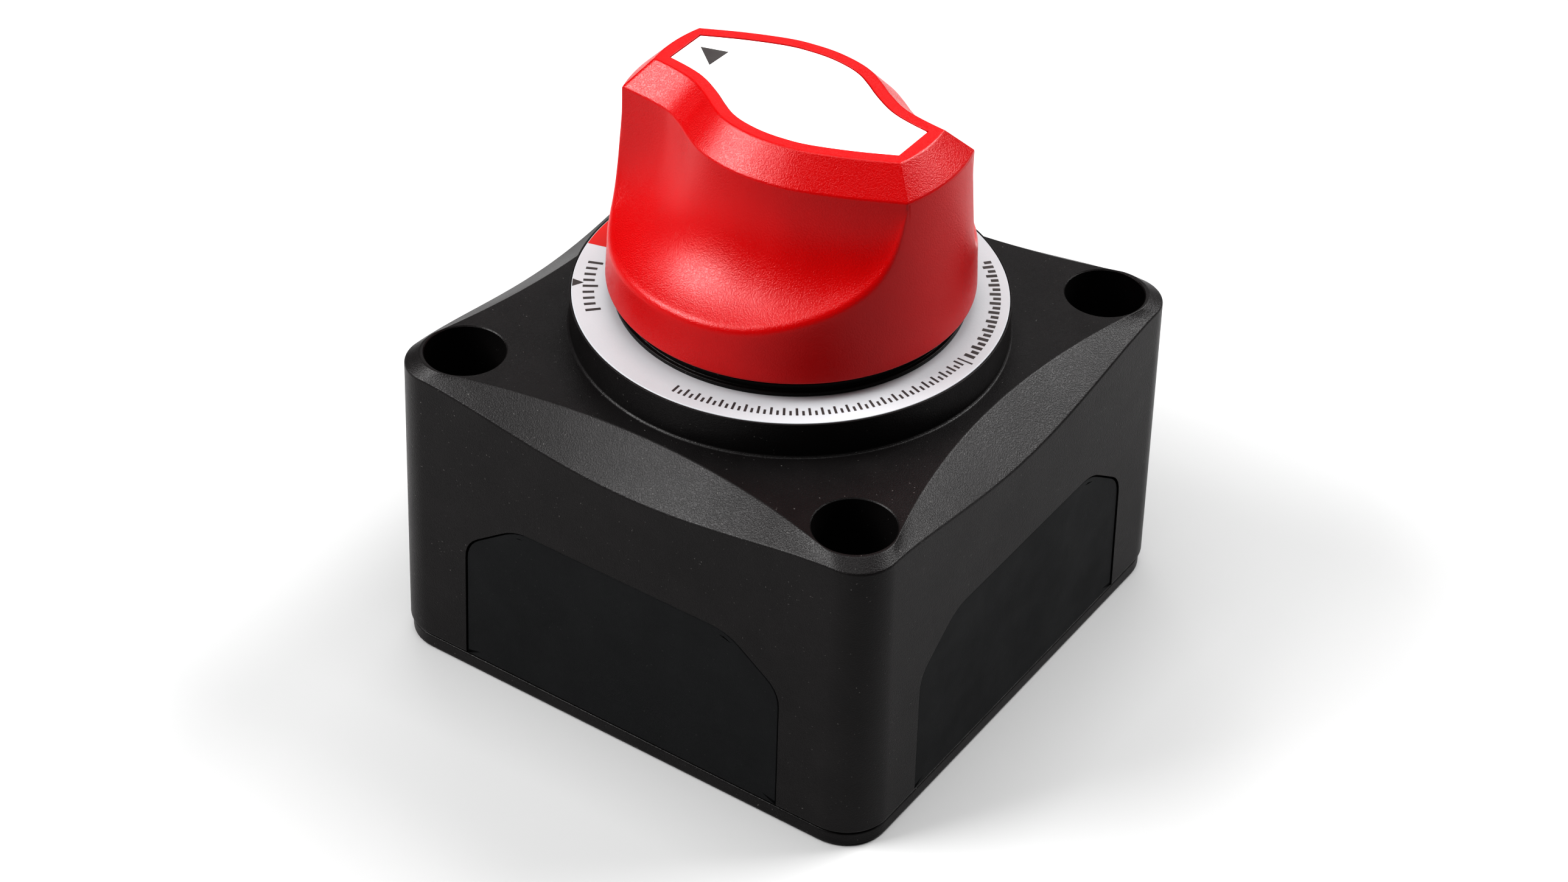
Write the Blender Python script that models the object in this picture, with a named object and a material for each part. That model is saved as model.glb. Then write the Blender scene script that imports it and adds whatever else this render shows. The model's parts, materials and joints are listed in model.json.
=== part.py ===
"""Battery isolator switch for a boat, built as the pieces it comes apart into.

Frame: the origin is the centre of the back cover's underside, +Z points out through the
knob, and the knob's arrow points along -X when the switch is off. The sizes below are in
millimetres, and new_object turns each finished shape into metres.
"""

import math

import bmesh
import bpy
import numpy as np
from mathutils import Matrix, Vector

MM = 0.001
GAP = 0.3
MERGE_DISTANCE = 0.001
CUT_PAST = 1.0

# Segments round a circle, by how large the circle is.
FINE = 48
MEDIUM = 24
COARSE = 16

# Housing, back cover and side covers.
BODY_WIDTH = 69.0
BODY_CORNER_RADIUS = 5.7
BODY_DRAFT = 0.74
BACK_COVER_THICKNESS = 2.0
BACK_COVER_INSET = 0.2
HOUSING_BASE_Z = BACK_COVER_THICKNESS + GAP
TOP_FACE_Z = 41.8
WALL_THICKNESS = 3.0
CEILING_Z = 39.1
SCREW_HOLE_OFFSET = 27.25
SCREW_HOLE_RADIUS = 3.25
COUNTERBORE_RADIUS = 4.83
COUNTERBORE_SEAT_Z = 12.0
POST_RADIUS = 7.25
CHAMFER_CORNER_Z = 40.7
CHAMFER_DIP = 3.3
CHAMFER_MIDDLE_Y = 28.2
CHAMFER_END_X = 26.6
CHAMFER_END_Y = 32.35
CHAMFER_LAND_RADIUS = 5.4
COVER_HALF_WIDTH = 22.85
COVER_TOP_Z = 24.9
COVER_RECESS = 0.15
COVER_FLANGE = 1.5
COVER_FLANGE_HALF_WIDTH = 19.9
COVER_FLANGE_THICKNESS = 1.2
BACK_RIM_FACE = 29.4
BACK_RIM_THICKNESS = 1.4
BACK_RIM_HALF_LENGTH = 18.0
BACK_RIM_TOP_Z = 5.5

# Plinth, label ring and bezel.
PLINTH_RADIUS = 26.05
PLINTH_TOP_Z = 45.6
RING_RADIUS = 25.8
RING_INNER_RADIUS = 18.6
RING_TOP_Z = 46.5
BEZEL_RADIUS = 20.9
BEZEL_SPIGOT_RADIUS = 18.0
BEZEL_TOP_Z = 49.9

# Knob.
KNOB_BASE_Z = 48.8
KNOB_BASE_RADIUS = 21.8
KNOB_SHOULDER_Z = 70.3
KNOB_SHOULDER_RADIUS = 20.8
KNOB_TOP_Z = 73.6
KNOB_TOP_RADIUS = 17.7
KNOB_CHAMFER_WIDTH = 3.1
COVE_END_ANGLE = math.radians(56.0)
INSERT_MARGIN = 1.45
INSERT_HALF_LENGTH = 16.1
INSERT_DEPTH = 1.3
INSERT_THICKNESS = 0.85
KNOB_POCKET_Z = 50.4
KNOB_BOSS_RADIUS = 8.6
KNOB_HOLLOW_RADIUS = 17.6
KNOB_HOLLOW_Z = 52.8

# Spindle and its bearing.
SPINDLE_RADIUS = 6.0
SPINDLE_SQUARE = 8.4
SPINDLE_TOP_Z = 64.3
SPINDLE_FLANGE_RADIUS = 8.0
BORE_RADIUS = 8.4
CHAMBER_RADIUS = 19.3
CHAMBER_TOP_Z = 43.3
SPINDLE_FOOT_Z = 36.9
SPINDLE_FLANGE_LOW_Z = 39.9
BUSH_FLANGE_RADIUS = 11.0
BUSH_FLANGE_THICKNESS = 1.1
BUSH_TOP_Z = 47.2
THRUST_WASHER_RADIUS = 10.5

# Contacts and terminals.
BASE_LOW_Z = 21.5
BASE_TOP_Z = 24.5
BASE_HALF_WIDTH = 29.4
BASE_WALL_INNER = 20.6
BASE_WALL_OUTER = 22.8
BASE_WALL_TOP_Z = 31.6
CONTACT_TOP_Z = 26.5
BRIDGE_LENGTH = 39.2
BRIDGE_WIDTH = 9.7
BRIDGE_THICKNESS = 3.0
BRIDGE_TRAVEL = 0.8
STUD_OFFSET = 14.2
STUD_RADIUS = 4.9
STUD_HEAD_RADIUS = 6.0
STUD_END_Z = 4.6
BOSS_OFFSET = 19.0
BOSS_RADIUS = 3.0
BASE_SCREW_RADIUS = 1.4
BASE_SCREW_TOP_Z = 33.0
BARRIER_THICKNESS = 2.0
BARRIER_HALF_WIDTH = 20.0
BARRIER_LOW_Z = 6.0
PARK_PAD_HALF_WIDTH = 4.0
PARK_PAD_START = 11.0
PARK_PAD_END = 19.0
FLAT_WASHER_RADIUS = 10.0
FLAT_WASHER_THICKNESS = 1.6
LOCK_WASHER_RADIUS = 8.6
LOCK_WASHER_THICKNESS = 2.2
NUT_ACROSS_FLATS = 17.0
NUT_THICKNESS = 6.5
CABLE_SPACE = 3.5

# Rotor and detent.
ROTOR_RADIUS = 18.7
ROTOR_LOW_Z = 27.0
ROTOR_TOP_Z = 40.8
SPRING_POCKET_RADIUS = 5.6
SPRING_TOP_Z = 35.6
PLUNGER_Z = 34.2
PLUNGER_RADIUS = 2.0
PLUNGER_TIP_RADIUS = 20.3
PLUNGER_INNER_RADIUS = 13.4
PLUNGER_BORE_RADIUS = 8.4
DETENT_RING_TOP_Z = 38.0
DETENT_NOTCH_DEPTH = 0.7
DETENT_HALF_ANGLE = 9.0
OFF_ANGLE = 0.0
ON_ANGLE = -90.0
REMOVE_ANGLE = 33.3

MATERIALS = {
    "housing_black": ((0.012, 0.011, 0.012), 0.55, 0.0),
    "cover_black": ((0.017, 0.018, 0.020), 0.60, 0.0),
    "ring_white": ((0.82, 0.80, 0.83), 0.45, 0.0),
    "knob_red": ((0.74, 0.004, 0.010), 0.38, 0.0),
    "insert_white": ((0.88, 0.88, 0.88), 0.40, 0.0),
    "inner_grey": ((0.16, 0.16, 0.17), 0.55, 0.0),
    "acetal_white": ((0.75, 0.74, 0.70), 0.45, 0.0),
    "seal_rubber": ((0.02, 0.02, 0.02), 0.85, 0.0),
    "copper": ((0.72, 0.32, 0.18), 0.28, 1.0),
    "tinned_brass": ((0.66, 0.64, 0.60), 0.32, 1.0),
    "steel": ((0.56, 0.57, 0.58), 0.30, 1.0),
}


# --- Building blocks -----------------------------------------------------------------


def make_material(name):
    """Return the named Principled material, made on first use."""
    material = bpy.data.materials.get(name)
    if material is None:
        colour, roughness, metallic = MATERIALS[name]
        material = bpy.data.materials.new(name)
        material.use_nodes = True
        shader = material.node_tree.nodes["Principled BSDF"]
        shader.inputs["Base Color"].default_value = (*colour, 1.0)
        shader.inputs["Roughness"].default_value = roughness
        shader.inputs["Metallic"].default_value = metallic
    return material


def place(obj, parent, location=(0, 0, 0), turn=0.0):
    """Link an object at a place in millimetres, turned about Z by an angle in degrees."""
    bpy.context.scene.collection.objects.link(obj)
    obj.parent = parent
    obj.location = Vector(location) * MM
    obj.rotation_euler = (0.0, 0.0, math.radians(turn))
    return obj


def make_mesh(name, bm, material=None):
    """Turn a bmesh in millimetres into a closed mesh in metres, smooth but for its edges."""
    bmesh.ops.remove_doubles(bm, verts=bm.verts, dist=MERGE_DISTANCE)
    bmesh.ops.recalc_face_normals(bm, faces=bm.faces)
    bmesh.ops.scale(bm, vec=(MM, MM, MM), verts=bm.verts)
    mesh = bpy.data.meshes.new(name)
    bm.to_mesh(mesh)
    bm.free()
    mesh.shade_smooth()
    mesh.set_sharp_from_angle(angle=math.radians(35))
    if material:
        mesh.materials.append(make_material(material))
    return mesh


def new_object(name, bm, material, parent, location=(0, 0, 0), turn=0.0):
    """Make a piece of the switch from a bmesh in millimetres."""
    return place(bpy.data.objects.new(name, make_mesh(name, bm, material)), parent, location, turn)


def boolean(target, bm, operation, name):
    """Cut or join a bmesh in the target's frame, kept as a wire guide beside it."""
    guide = bpy.data.objects.new(name, make_mesh(name, bm))
    place(guide, target.parent, target.location / MM, math.degrees(target.rotation_euler.z))
    guide.hide_render = True
    guide.display_type = "WIRE"
    modifier = target.modifiers.new(name, "BOOLEAN")
    modifier.operation = operation
    modifier.solver = "EXACT"
    modifier.object = guide


def circle(radius, segments, centre=(0.0, 0.0), start=0.0, stop=360.0):
    """Points of a circle, or of an arc with both its ends when it isn't closed."""
    closed = abs(stop - start) >= 360.0
    angles = np.radians(np.linspace(start, stop, segments, endpoint=not closed))
    return [(centre[0] + radius * math.cos(a), centre[1] + radius * math.sin(a)) for a in angles]


def rounded_rectangle(width, height, radius, corner_steps=6):
    """Outline of a rectangle with round corners, centred on the origin."""
    points = []
    for quadrant, (side_x, side_y) in enumerate(((1, 1), (-1, 1), (-1, -1), (1, -1))):
        centre = (side_x * (width / 2 - radius), side_y * (height / 2 - radius))
        points += circle(radius, corner_steps, centre, 90 * quadrant, 90 * quadrant + 90)
    return points


def rounded_polygon(corners, steps=5):
    """Outline through (x, y, radius) corners, each rounded by a tangent arc."""
    points = []
    count = len(corners)
    for index, (x, y, radius) in enumerate(corners):
        corner = Vector((x, y))
        before = (Vector(corners[index - 1][:2]) - corner).normalized()
        after = (Vector(corners[(index + 1) % count][:2]) - corner).normalized()
        if radius == 0:
            points.append(tuple(corner))
            continue
        half_angle = before.angle(after) / 2
        middle = (before + after).normalized()
        centre = corner + middle * radius / math.sin(half_angle)
        first = corner + before * radius / math.tan(half_angle) - centre
        last = corner + after * radius / math.tan(half_angle) - centre
        sweep = [first.slerp(last, step / steps).normalized() for step in range(steps + 1)]
        points += [tuple(centre + direction * radius) for direction in sweep]
    return points


def prism(bm, outline, low, high):
    """Add an outline extruded from one height to another."""
    face = bm.faces.new([bm.verts.new((x, y, low)) for x, y in outline])
    raised = bmesh.ops.extrude_face_region(bm, geom=[face])["geom"]
    verts = [item for item in raised if isinstance(item, bmesh.types.BMVert)]
    bmesh.ops.translate(bm, vec=(0, 0, high - low), verts=verts)
    return list(face.verts) + verts


def box(bm, low, high):
    """Add a rectangular block between two opposite corners."""
    outline = [(low[0], low[1]), (high[0], low[1]), (high[0], high[1]), (low[0], high[1])]
    return prism(bm, outline, low[2], high[2])


def ring_prism(bm, outer, inner, low, high):
    """Add a plate with a hole, from outer and inner outlines with equal point counts."""
    loops = []
    for outline, z in ((outer, low), (outer, high), (inner, high), (inner, low)):
        verts = [bm.verts.new((x, y, z)) for x, y in outline]
        loops.append([bm.edges.new(pair) for pair in zip(verts, verts[1:] + verts[:1])])
    for first, second in zip(loops, loops[1:] + loops[:1]):
        bmesh.ops.bridge_loops(bm, edges=first + second)


def turned(bm, profile, segments, centre=(0.0, 0.0)):
    """Add a (radius, z) profile turned about Z. Ends off the axis are joined to each other."""
    verts = [bm.verts.new((radius, 0, z)) for radius, z in profile]
    pairs = list(zip(verts, verts[1:]))
    if profile[0][0] > 0 and profile[-1][0] > 0:
        pairs.append((verts[-1], verts[0]))
    before = set(bm.verts) - set(verts)
    edges = [bm.edges.new(pair) for pair in pairs]
    bmesh.ops.spin(
        bm, geom=verts + edges, cent=(0, 0, 0), axis=(0, 0, 1), dvec=(0, 0, 0),
        angle=2 * math.pi, steps=segments, use_merge=True,
    )
    made = [vert for vert in bm.verts if vert not in before]
    bmesh.ops.translate(bm, vec=(centre[0], centre[1], 0), verts=made)
    return made


def four_ways(offset):
    """The four points at one distance from both centre lines, going round the body."""
    return [(offset, -offset), (offset, offset), (-offset, offset), (-offset, -offset)]


def coil(name, material, parent, radius, wire, length, turns, location, axis="Z"):
    """A compression spring as a bevelled curve, standing on its location."""
    curve = bpy.data.curves.new(name, "CURVE")
    curve.dimensions = "3D"
    curve.bevel_depth = wire * MM
    curve.bevel_resolution = 0
    curve.use_fill_caps = True
    curve.render_resolution_u = 0
    steps = int(turns * 12)
    spline = curve.splines.new("POLY")
    spline.points.add(steps)
    for step, point in enumerate(spline.points):
        angle = 2 * math.pi * turns * step / steps
        rise = wire + (length - 2 * wire) * step / steps
        across = (radius * math.cos(angle), radius * math.sin(angle))
        position = (*across, rise) if axis == "Z" else (rise, *across)
        point.co = (*(Vector(position) * MM), 1.0)
    curve.materials.append(make_material(material))
    return place(bpy.data.objects.new(name, curve), parent, location)


# --- Housing and covers --------------------------------------------------------------


def wall_inset(height):
    """How far the tapered side walls stand in from their foot at a height."""
    return BODY_DRAFT * (height - HOUSING_BASE_Z) / (CHAMFER_CORNER_Z - HOUSING_BASE_Z)


def housing_loops():
    """Three loops up the body: its foot, and the lower and upper edges of its top chamfer."""
    half = BODY_WIDTH / 2
    flat = half - BODY_CORNER_RADIUS
    bow = (CHAMFER_END_Y - CHAMFER_MIDDLE_Y) / CHAMFER_END_X ** 2
    end = Vector((CHAMFER_END_X - SCREW_HOLE_OFFSET, SCREW_HOLE_OFFSET - CHAMFER_END_Y))
    start_angle = math.degrees(math.atan2(end.y, end.x))
    foot_side, low_side, high_side = [], [], []
    for share in np.linspace(-1, 1, 17):
        low_z = CHAMFER_CORNER_Z - CHAMFER_DIP * math.cos(share * math.pi / 2) ** 1.5
        foot_side.append((flat * share, -half, HOUSING_BASE_Z))
        low_side.append((flat * share, wall_inset(low_z) - half, low_z))
        x = CHAMFER_END_X * share
        high_side.append((x, -CHAMFER_MIDDLE_Y - bow * x * x, TOP_FACE_Z))
    for share in np.linspace(0, 1, 9)[1:-1]:
        angle = math.radians(-90 + 90 * share)
        for side, radius, height in (
            (foot_side, BODY_CORNER_RADIUS, HOUSING_BASE_Z),
            (low_side, BODY_CORNER_RADIUS - BODY_DRAFT, CHAMFER_CORNER_Z),
        ):
            across, along = radius * math.cos(angle), radius * math.sin(angle)
            side.append((flat + across, along - flat, height))
        angle = math.radians(start_angle + (-90 - 2 * start_angle) * share)
        radius = end.length + (CHAMFER_LAND_RADIUS - end.length) * math.sin(math.pi * share)
        high_side.append((
            SCREW_HOLE_OFFSET + radius * math.cos(angle),
            -SCREW_HOLE_OFFSET + radius * math.sin(angle),
            TOP_FACE_Z,
        ))
    turns = [Matrix.Rotation(math.pi / 2 * quarter, 3, "Z") for quarter in range(4)]
    sides = (foot_side, low_side, high_side)
    return [[turn @ Vector(point) for turn in turns for point in side] for side in sides]


def cover_outline(inset=0.0, bottom=HOUSING_BASE_Z):
    """Outline of a cable-entry cover in its wall's plane, x across and z up."""
    half, top = COVER_HALF_WIDTH - inset, COVER_TOP_Z - inset
    corners = [
        (half, bottom, 0), (half - 0.25, top - 5.3, 3.0), (half - 7.65, top, 4.0),
        (7.65 - half, top, 4.0), (0.25 - half, top - 5.3, 3.0), (-half, bottom, 0),
    ]
    return rounded_polygon(corners)


def stand_up(bm, verts, quarter=0):
    """Turn a prism drawn flat so that its outline stands in the front wall, or a later one."""
    bmesh.ops.rotate(bm, cent=(0, 0, 0), matrix=Matrix.Rotation(math.pi / 2, 3, "X"), verts=verts)
    bmesh.ops.rotate(
        bm, cent=(0, 0, 0), matrix=Matrix.Rotation(math.pi / 2 * quarter, 3, "Z"), verts=verts,
    )


def make_housing(parent):
    """Square moulding with corner posts, cable entries, plinth and contact chamber."""
    bm = bmesh.new()
    loops = []
    for points in housing_loops():
        verts = [bm.verts.new(point) for point in points]
        loops.append([bm.edges.new(pair) for pair in zip(verts, verts[1:] + verts[:1])])
    for first, second in zip(loops, loops[1:]):
        bmesh.ops.bridge_loops(bm, edges=first + second)
    for loop in (loops[0], loops[-1]):
        bmesh.ops.contextual_create(bm, geom=loop)
    housing = new_object("housing", bm, "housing_black", parent)

    inner = BODY_WIDTH / 2 - WALL_THICKNESS
    lean = math.degrees(math.asin((inner - SCREW_HOLE_OFFSET) / POST_RADIUS))
    outline = []
    for quarter, centre in enumerate(four_ways(SCREW_HOLE_OFFSET)):
        ends = (180 + lean + 90 * quarter, 90 - lean + 90 * quarter)
        outline += circle(POST_RADIUS, 10, centre, *ends)
    bm = bmesh.new()
    prism(bm, outline, HOUSING_BASE_Z - CUT_PAST, CEILING_Z)
    boolean(housing, bm, "DIFFERENCE", "cavity_cut")

    bm = bmesh.new()
    sunk = TOP_FACE_Z - 0.5
    profile = [
        (0, sunk), (PLINTH_RADIUS + 0.9, sunk), (PLINTH_RADIUS + 0.9, TOP_FACE_Z),
        (PLINTH_RADIUS + 0.25, TOP_FACE_Z + 0.3), (PLINTH_RADIUS, TOP_FACE_Z + 0.9),
        (PLINTH_RADIUS, PLINTH_TOP_Z - 0.3), (PLINTH_RADIUS - 0.3, PLINTH_TOP_Z), (0, PLINTH_TOP_Z),
    ]
    turned(bm, profile, FINE)
    boolean(housing, bm, "UNION", "plinth_shape")

    bm = bmesh.new()
    for centre in four_ways(BOSS_OFFSET):
        prism(bm, circle(BOSS_RADIUS, COARSE, centre), BASE_TOP_Z + GAP, CEILING_Z + GAP)
    boolean(housing, bm, "UNION", "screw_bosses")

    bm = bmesh.new()
    profile = [
        (0, CEILING_Z - CUT_PAST), (CHAMBER_RADIUS, CEILING_Z - CUT_PAST),
        (CHAMBER_RADIUS, CHAMBER_TOP_Z), (BORE_RADIUS, CHAMBER_TOP_Z),
        (BORE_RADIUS, PLINTH_TOP_Z + CUT_PAST), (0, PLINTH_TOP_Z + CUT_PAST),
    ]
    turned(bm, profile, MEDIUM)
    for centre in four_ways(SCREW_HOLE_OFFSET):
        profile = [
            (0, HOUSING_BASE_Z - CUT_PAST), (SCREW_HOLE_RADIUS, HOUSING_BASE_Z - CUT_PAST),
            (SCREW_HOLE_RADIUS, COUNTERBORE_SEAT_Z), (COUNTERBORE_RADIUS, COUNTERBORE_SEAT_Z),
            (COUNTERBORE_RADIUS, TOP_FACE_Z + CUT_PAST), (0, TOP_FACE_Z + CUT_PAST),
        ]
        turned(bm, profile, MEDIUM, centre)
    for centre in four_ways(BOSS_OFFSET):
        prism(bm, circle(BASE_SCREW_RADIUS + GAP, 12, centre), BASE_TOP_Z, BASE_SCREW_TOP_Z + GAP)
    boolean(housing, bm, "DIFFERENCE", "bores_cut")

    bm = bmesh.new()
    for quarter in range(4):
        verts = prism(
            bm, cover_outline(0.0, HOUSING_BASE_Z - CUT_PAST),
            BODY_WIDTH / 2 - WALL_THICKNESS - CUT_PAST, BODY_WIDTH / 2 + CUT_PAST,
        )
        stand_up(bm, verts, quarter)
    boolean(housing, bm, "DIFFERENCE", "cable_entries_cut")


def make_back_cover(parent):
    """Flat plate that closes the back, with four upright rims that locate it."""
    width = BODY_WIDTH - 2 * BACK_COVER_INSET
    bm = bmesh.new()
    prism(bm, rounded_rectangle(width, width, BODY_CORNER_RADIUS), 0, BACK_COVER_THICKNESS)
    cover = new_object("back_cover", bm, "housing_black", parent)

    bm = bmesh.new()
    for quarter in range(4):
        low = (-BACK_RIM_HALF_LENGTH, -BACK_RIM_FACE, BACK_COVER_THICKNESS / 2)
        high = (BACK_RIM_HALF_LENGTH, BACK_RIM_THICKNESS - BACK_RIM_FACE, BACK_RIM_TOP_Z)
        verts = box(bm, low, high)
        turn = Matrix.Rotation(math.pi / 2 * quarter, 3, "Z")
        bmesh.ops.rotate(bm, cent=(0, 0, 0), matrix=turn, verts=verts)
    boolean(cover, bm, "UNION", "back_cover_rims")

    bm = bmesh.new()
    for centre in four_ways(SCREW_HOLE_OFFSET):
        hole = circle(SCREW_HOLE_RADIUS, MEDIUM, centre)
        prism(bm, hole, -CUT_PAST, BACK_COVER_THICKNESS + CUT_PAST)
    boolean(cover, bm, "DIFFERENCE", "back_cover_holes")


def make_side_covers(parent):
    """Four covers that fill the cable entries, each with a flange behind its wall."""
    face = BODY_WIDTH / 2 - COVER_RECESS
    inner_wall = BODY_WIDTH / 2 - WALL_THICKNESS
    flange_face = inner_wall - GAP
    flange_back = flange_face - COVER_FLANGE_THICKNESS
    for quarter, side in enumerate(("front", "right", "rear", "left")):
        bm = bmesh.new()
        verts = prism(bm, cover_outline(GAP), flange_face - 0.2, face)
        stand_up(bm, verts)
        for vert in verts:
            if vert.co.y < -inner_wall:
                vert.co.y += wall_inset(vert.co.z)
        cover = new_object(f"side_cover_{side}", bm, "cover_black", parent, turn=90 * quarter)
        bm = bmesh.new()
        low = (-COVER_FLANGE_HALF_WIDTH, HOUSING_BASE_Z, flange_back)
        high = (COVER_FLANGE_HALF_WIDTH, COVER_TOP_Z + COVER_FLANGE, flange_face)
        stand_up(bm, box(bm, low, high))
        boolean(cover, bm, "UNION", f"side_cover_{side}_flange")


# --- Label ring, bezel and bearing ---------------------------------------------------


def make_label_ring(parent):
    """Printed ring that lies on the plinth round the bezel."""
    low = PLINTH_TOP_Z + GAP
    bm = bmesh.new()
    turned(bm, [
        (RING_INNER_RADIUS, low), (RING_RADIUS, low), (RING_RADIUS, RING_TOP_Z),
        (RING_INNER_RADIUS, RING_TOP_Z),
    ], FINE)
    new_object("label_ring", bm, "ring_white", parent)


def make_bezel(parent):
    """Stepped collar that holds the label ring down and guides the knob's skirt."""
    foot, lip = PLINTH_TOP_Z + GAP, RING_TOP_Z + GAP
    bm = bmesh.new()
    turned(bm, [
        (BORE_RADIUS, foot), (BEZEL_SPIGOT_RADIUS + 0.3, foot), (BEZEL_SPIGOT_RADIUS + 0.3, lip),
        (BEZEL_RADIUS, lip), (BEZEL_RADIUS, lip + 0.6), (BEZEL_RADIUS - 0.5, lip + 1.0),
        (BEZEL_SPIGOT_RADIUS, lip + 1.0), (BEZEL_SPIGOT_RADIUS, BEZEL_TOP_Z),
        (BORE_RADIUS, BEZEL_TOP_Z),
    ], FINE)
    new_object("bezel", bm, "housing_black", parent)


def make_bearing(parent):
    """Flanged bush, thrust washer and O-ring round the spindle, and the chamber's gasket."""
    running = SPINDLE_RADIUS + GAP
    flange_top = CHAMBER_TOP_Z - GAP
    flange_low = flange_top - BUSH_FLANGE_THICKNESS
    bm = bmesh.new()
    turned(bm, [
        (running, flange_low), (BUSH_FLANGE_RADIUS, flange_low), (BUSH_FLANGE_RADIUS, flange_top),
        (BORE_RADIUS - GAP, flange_top), (BORE_RADIUS - GAP, BUSH_TOP_Z), (running, BUSH_TOP_Z),
    ], MEDIUM)
    new_object("spindle_bush", bm, "acetal_white", parent)

    washer_top = flange_low - GAP
    outlines = (circle(THRUST_WASHER_RADIUS, MEDIUM), circle(running, MEDIUM))
    bm = bmesh.new()
    ring_prism(bm, *outlines, ROTOR_TOP_Z + GAP, washer_top)
    new_object("thrust_washer", bm, "steel", parent)

    centre = (BORE_RADIUS + SPINDLE_RADIUS) / 2
    section = (BORE_RADIUS - SPINDLE_RADIUS) / 2 - GAP
    bm = bmesh.new()
    turned(bm, circle(section, 8, (centre, BUSH_TOP_Z + GAP + section)), MEDIUM)
    new_object("shaft_seal", bm, "seal_rubber", parent)

    gasket_low, gasket_top = DETENT_RING_TOP_Z + GAP, CEILING_Z - GAP
    outlines = (circle(BASE_WALL_OUTER, FINE), circle(BASE_WALL_INNER, FINE))
    bm = bmesh.new()
    ring_prism(bm, *outlines, gasket_low, gasket_top)
    new_object("chamber_gasket", bm, "seal_rubber", parent)


# --- Contacts and terminals ----------------------------------------------------------


def make_contact_base(parent):
    """Insulating base that carries both studs and closes the contact chamber."""
    notch = POST_RADIUS + GAP
    lean = math.degrees(math.asin((BASE_HALF_WIDTH - SCREW_HOLE_OFFSET) / notch))
    outline = []
    for quarter, centre in enumerate(four_ways(SCREW_HOLE_OFFSET)):
        ends = (180 + lean + 90 * quarter, 90 - lean + 90 * quarter)
        outline += circle(notch, 8, centre, *ends)
    bm = bmesh.new()
    prism(bm, outline, BASE_LOW_Z, BASE_TOP_Z)
    base = new_object("contact_base", bm, "inner_grey", parent)

    bm = bmesh.new()
    outlines = (circle(BASE_WALL_OUTER, FINE), circle(BASE_WALL_INNER, FINE))
    ring_prism(bm, *outlines, BASE_TOP_Z - 0.5, BASE_WALL_TOP_Z)
    low = (-BARRIER_THICKNESS / 2, -BARRIER_HALF_WIDTH, BARRIER_LOW_Z)
    box(bm, low, (BARRIER_THICKNESS / 2, BARRIER_HALF_WIDTH, BASE_LOW_Z + 0.5))
    for side in (-1, 1):
        ends = sorted((side * PARK_PAD_START, side * PARK_PAD_END))
        low = (-PARK_PAD_HALF_WIDTH, ends[0], BASE_TOP_Z - 0.5)
        box(bm, low, (PARK_PAD_HALF_WIDTH, ends[1], CONTACT_TOP_Z))
    boolean(base, bm, "UNION", "contact_base_walls")

    bm = bmesh.new()
    reach = (BASE_LOW_Z - CUT_PAST, BASE_TOP_Z + CUT_PAST)
    for side in (-1, 1):
        prism(bm, circle(STUD_RADIUS + GAP, MEDIUM, (side * STUD_OFFSET, 0)), *reach)
    for centre in four_ways(BOSS_OFFSET):
        prism(bm, circle(BASE_SCREW_RADIUS + GAP, 12, centre), *reach)
    boolean(base, bm, "DIFFERENCE", "contact_base_holes")


def lock_washer_outline():
    """C-shaped outline of a split spring washer."""
    split = math.degrees(0.8 / LOCK_WASHER_RADIUS)
    outer = circle(LOCK_WASHER_RADIUS, 28, start=split, stop=360 - split - 0.001)
    return outer + circle(STUD_RADIUS + GAP, 28, start=360 - split - 0.001, stop=split)


def hexagon(across_flats, sides_split=4):
    """Outline of a hexagon with each side split into equal steps."""
    corners = [Vector(point) for point in circle(across_flats / math.sqrt(3), 6)]
    points = []
    for first, second in zip(corners, corners[1:] + corners[:1]):
        points += [tuple(first.lerp(second, step / sides_split)) for step in range(sides_split)]
    return points


def make_terminals(parent):
    """Two headed studs, each with a washer, room for a cable's ring, a spring washer and a nut."""
    flat_top = BASE_LOW_Z - GAP
    flat_low = flat_top - FLAT_WASHER_THICKNESS
    lock_top = flat_low - CABLE_SPACE
    lock_low = lock_top - LOCK_WASHER_THICKNESS
    nut_top = lock_low - GAP
    hole = circle(STUD_RADIUS + GAP, 24)

    bm = bmesh.new()
    turned(bm, [
        (0, CONTACT_TOP_Z), (STUD_HEAD_RADIUS - 0.4, CONTACT_TOP_Z),
        (STUD_HEAD_RADIUS, CONTACT_TOP_Z - 0.4), (STUD_HEAD_RADIUS, BASE_TOP_Z + GAP),
        (STUD_RADIUS, BASE_TOP_Z + GAP), (STUD_RADIUS, STUD_END_Z + 0.8),
        (STUD_RADIUS - 0.8, STUD_END_Z), (0, STUD_END_Z),
    ], MEDIUM)
    stud = make_mesh("terminal_stud", bm, "tinned_brass")
    bm = bmesh.new()
    ring_prism(bm, circle(FLAT_WASHER_RADIUS, 24), hole, flat_low, flat_top)
    flat_washer = make_mesh("terminal_washer", bm, "steel")
    bm = bmesh.new()
    prism(bm, lock_washer_outline(), lock_low, lock_top)
    lock_washer = make_mesh("terminal_lock_washer", bm, "steel")
    bm = bmesh.new()
    ring_prism(bm, hexagon(NUT_ACROSS_FLATS), hole, nut_top - NUT_THICKNESS, nut_top)
    nut = make_mesh("terminal_nut", bm, "tinned_brass")

    for side, x in (("left", -STUD_OFFSET), ("right", STUD_OFFSET)):
        for mesh in (stud, flat_washer, lock_washer, nut):
            place(bpy.data.objects.new(f"{mesh.name}_{side}", mesh), parent, (x, 0, 0))


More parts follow.
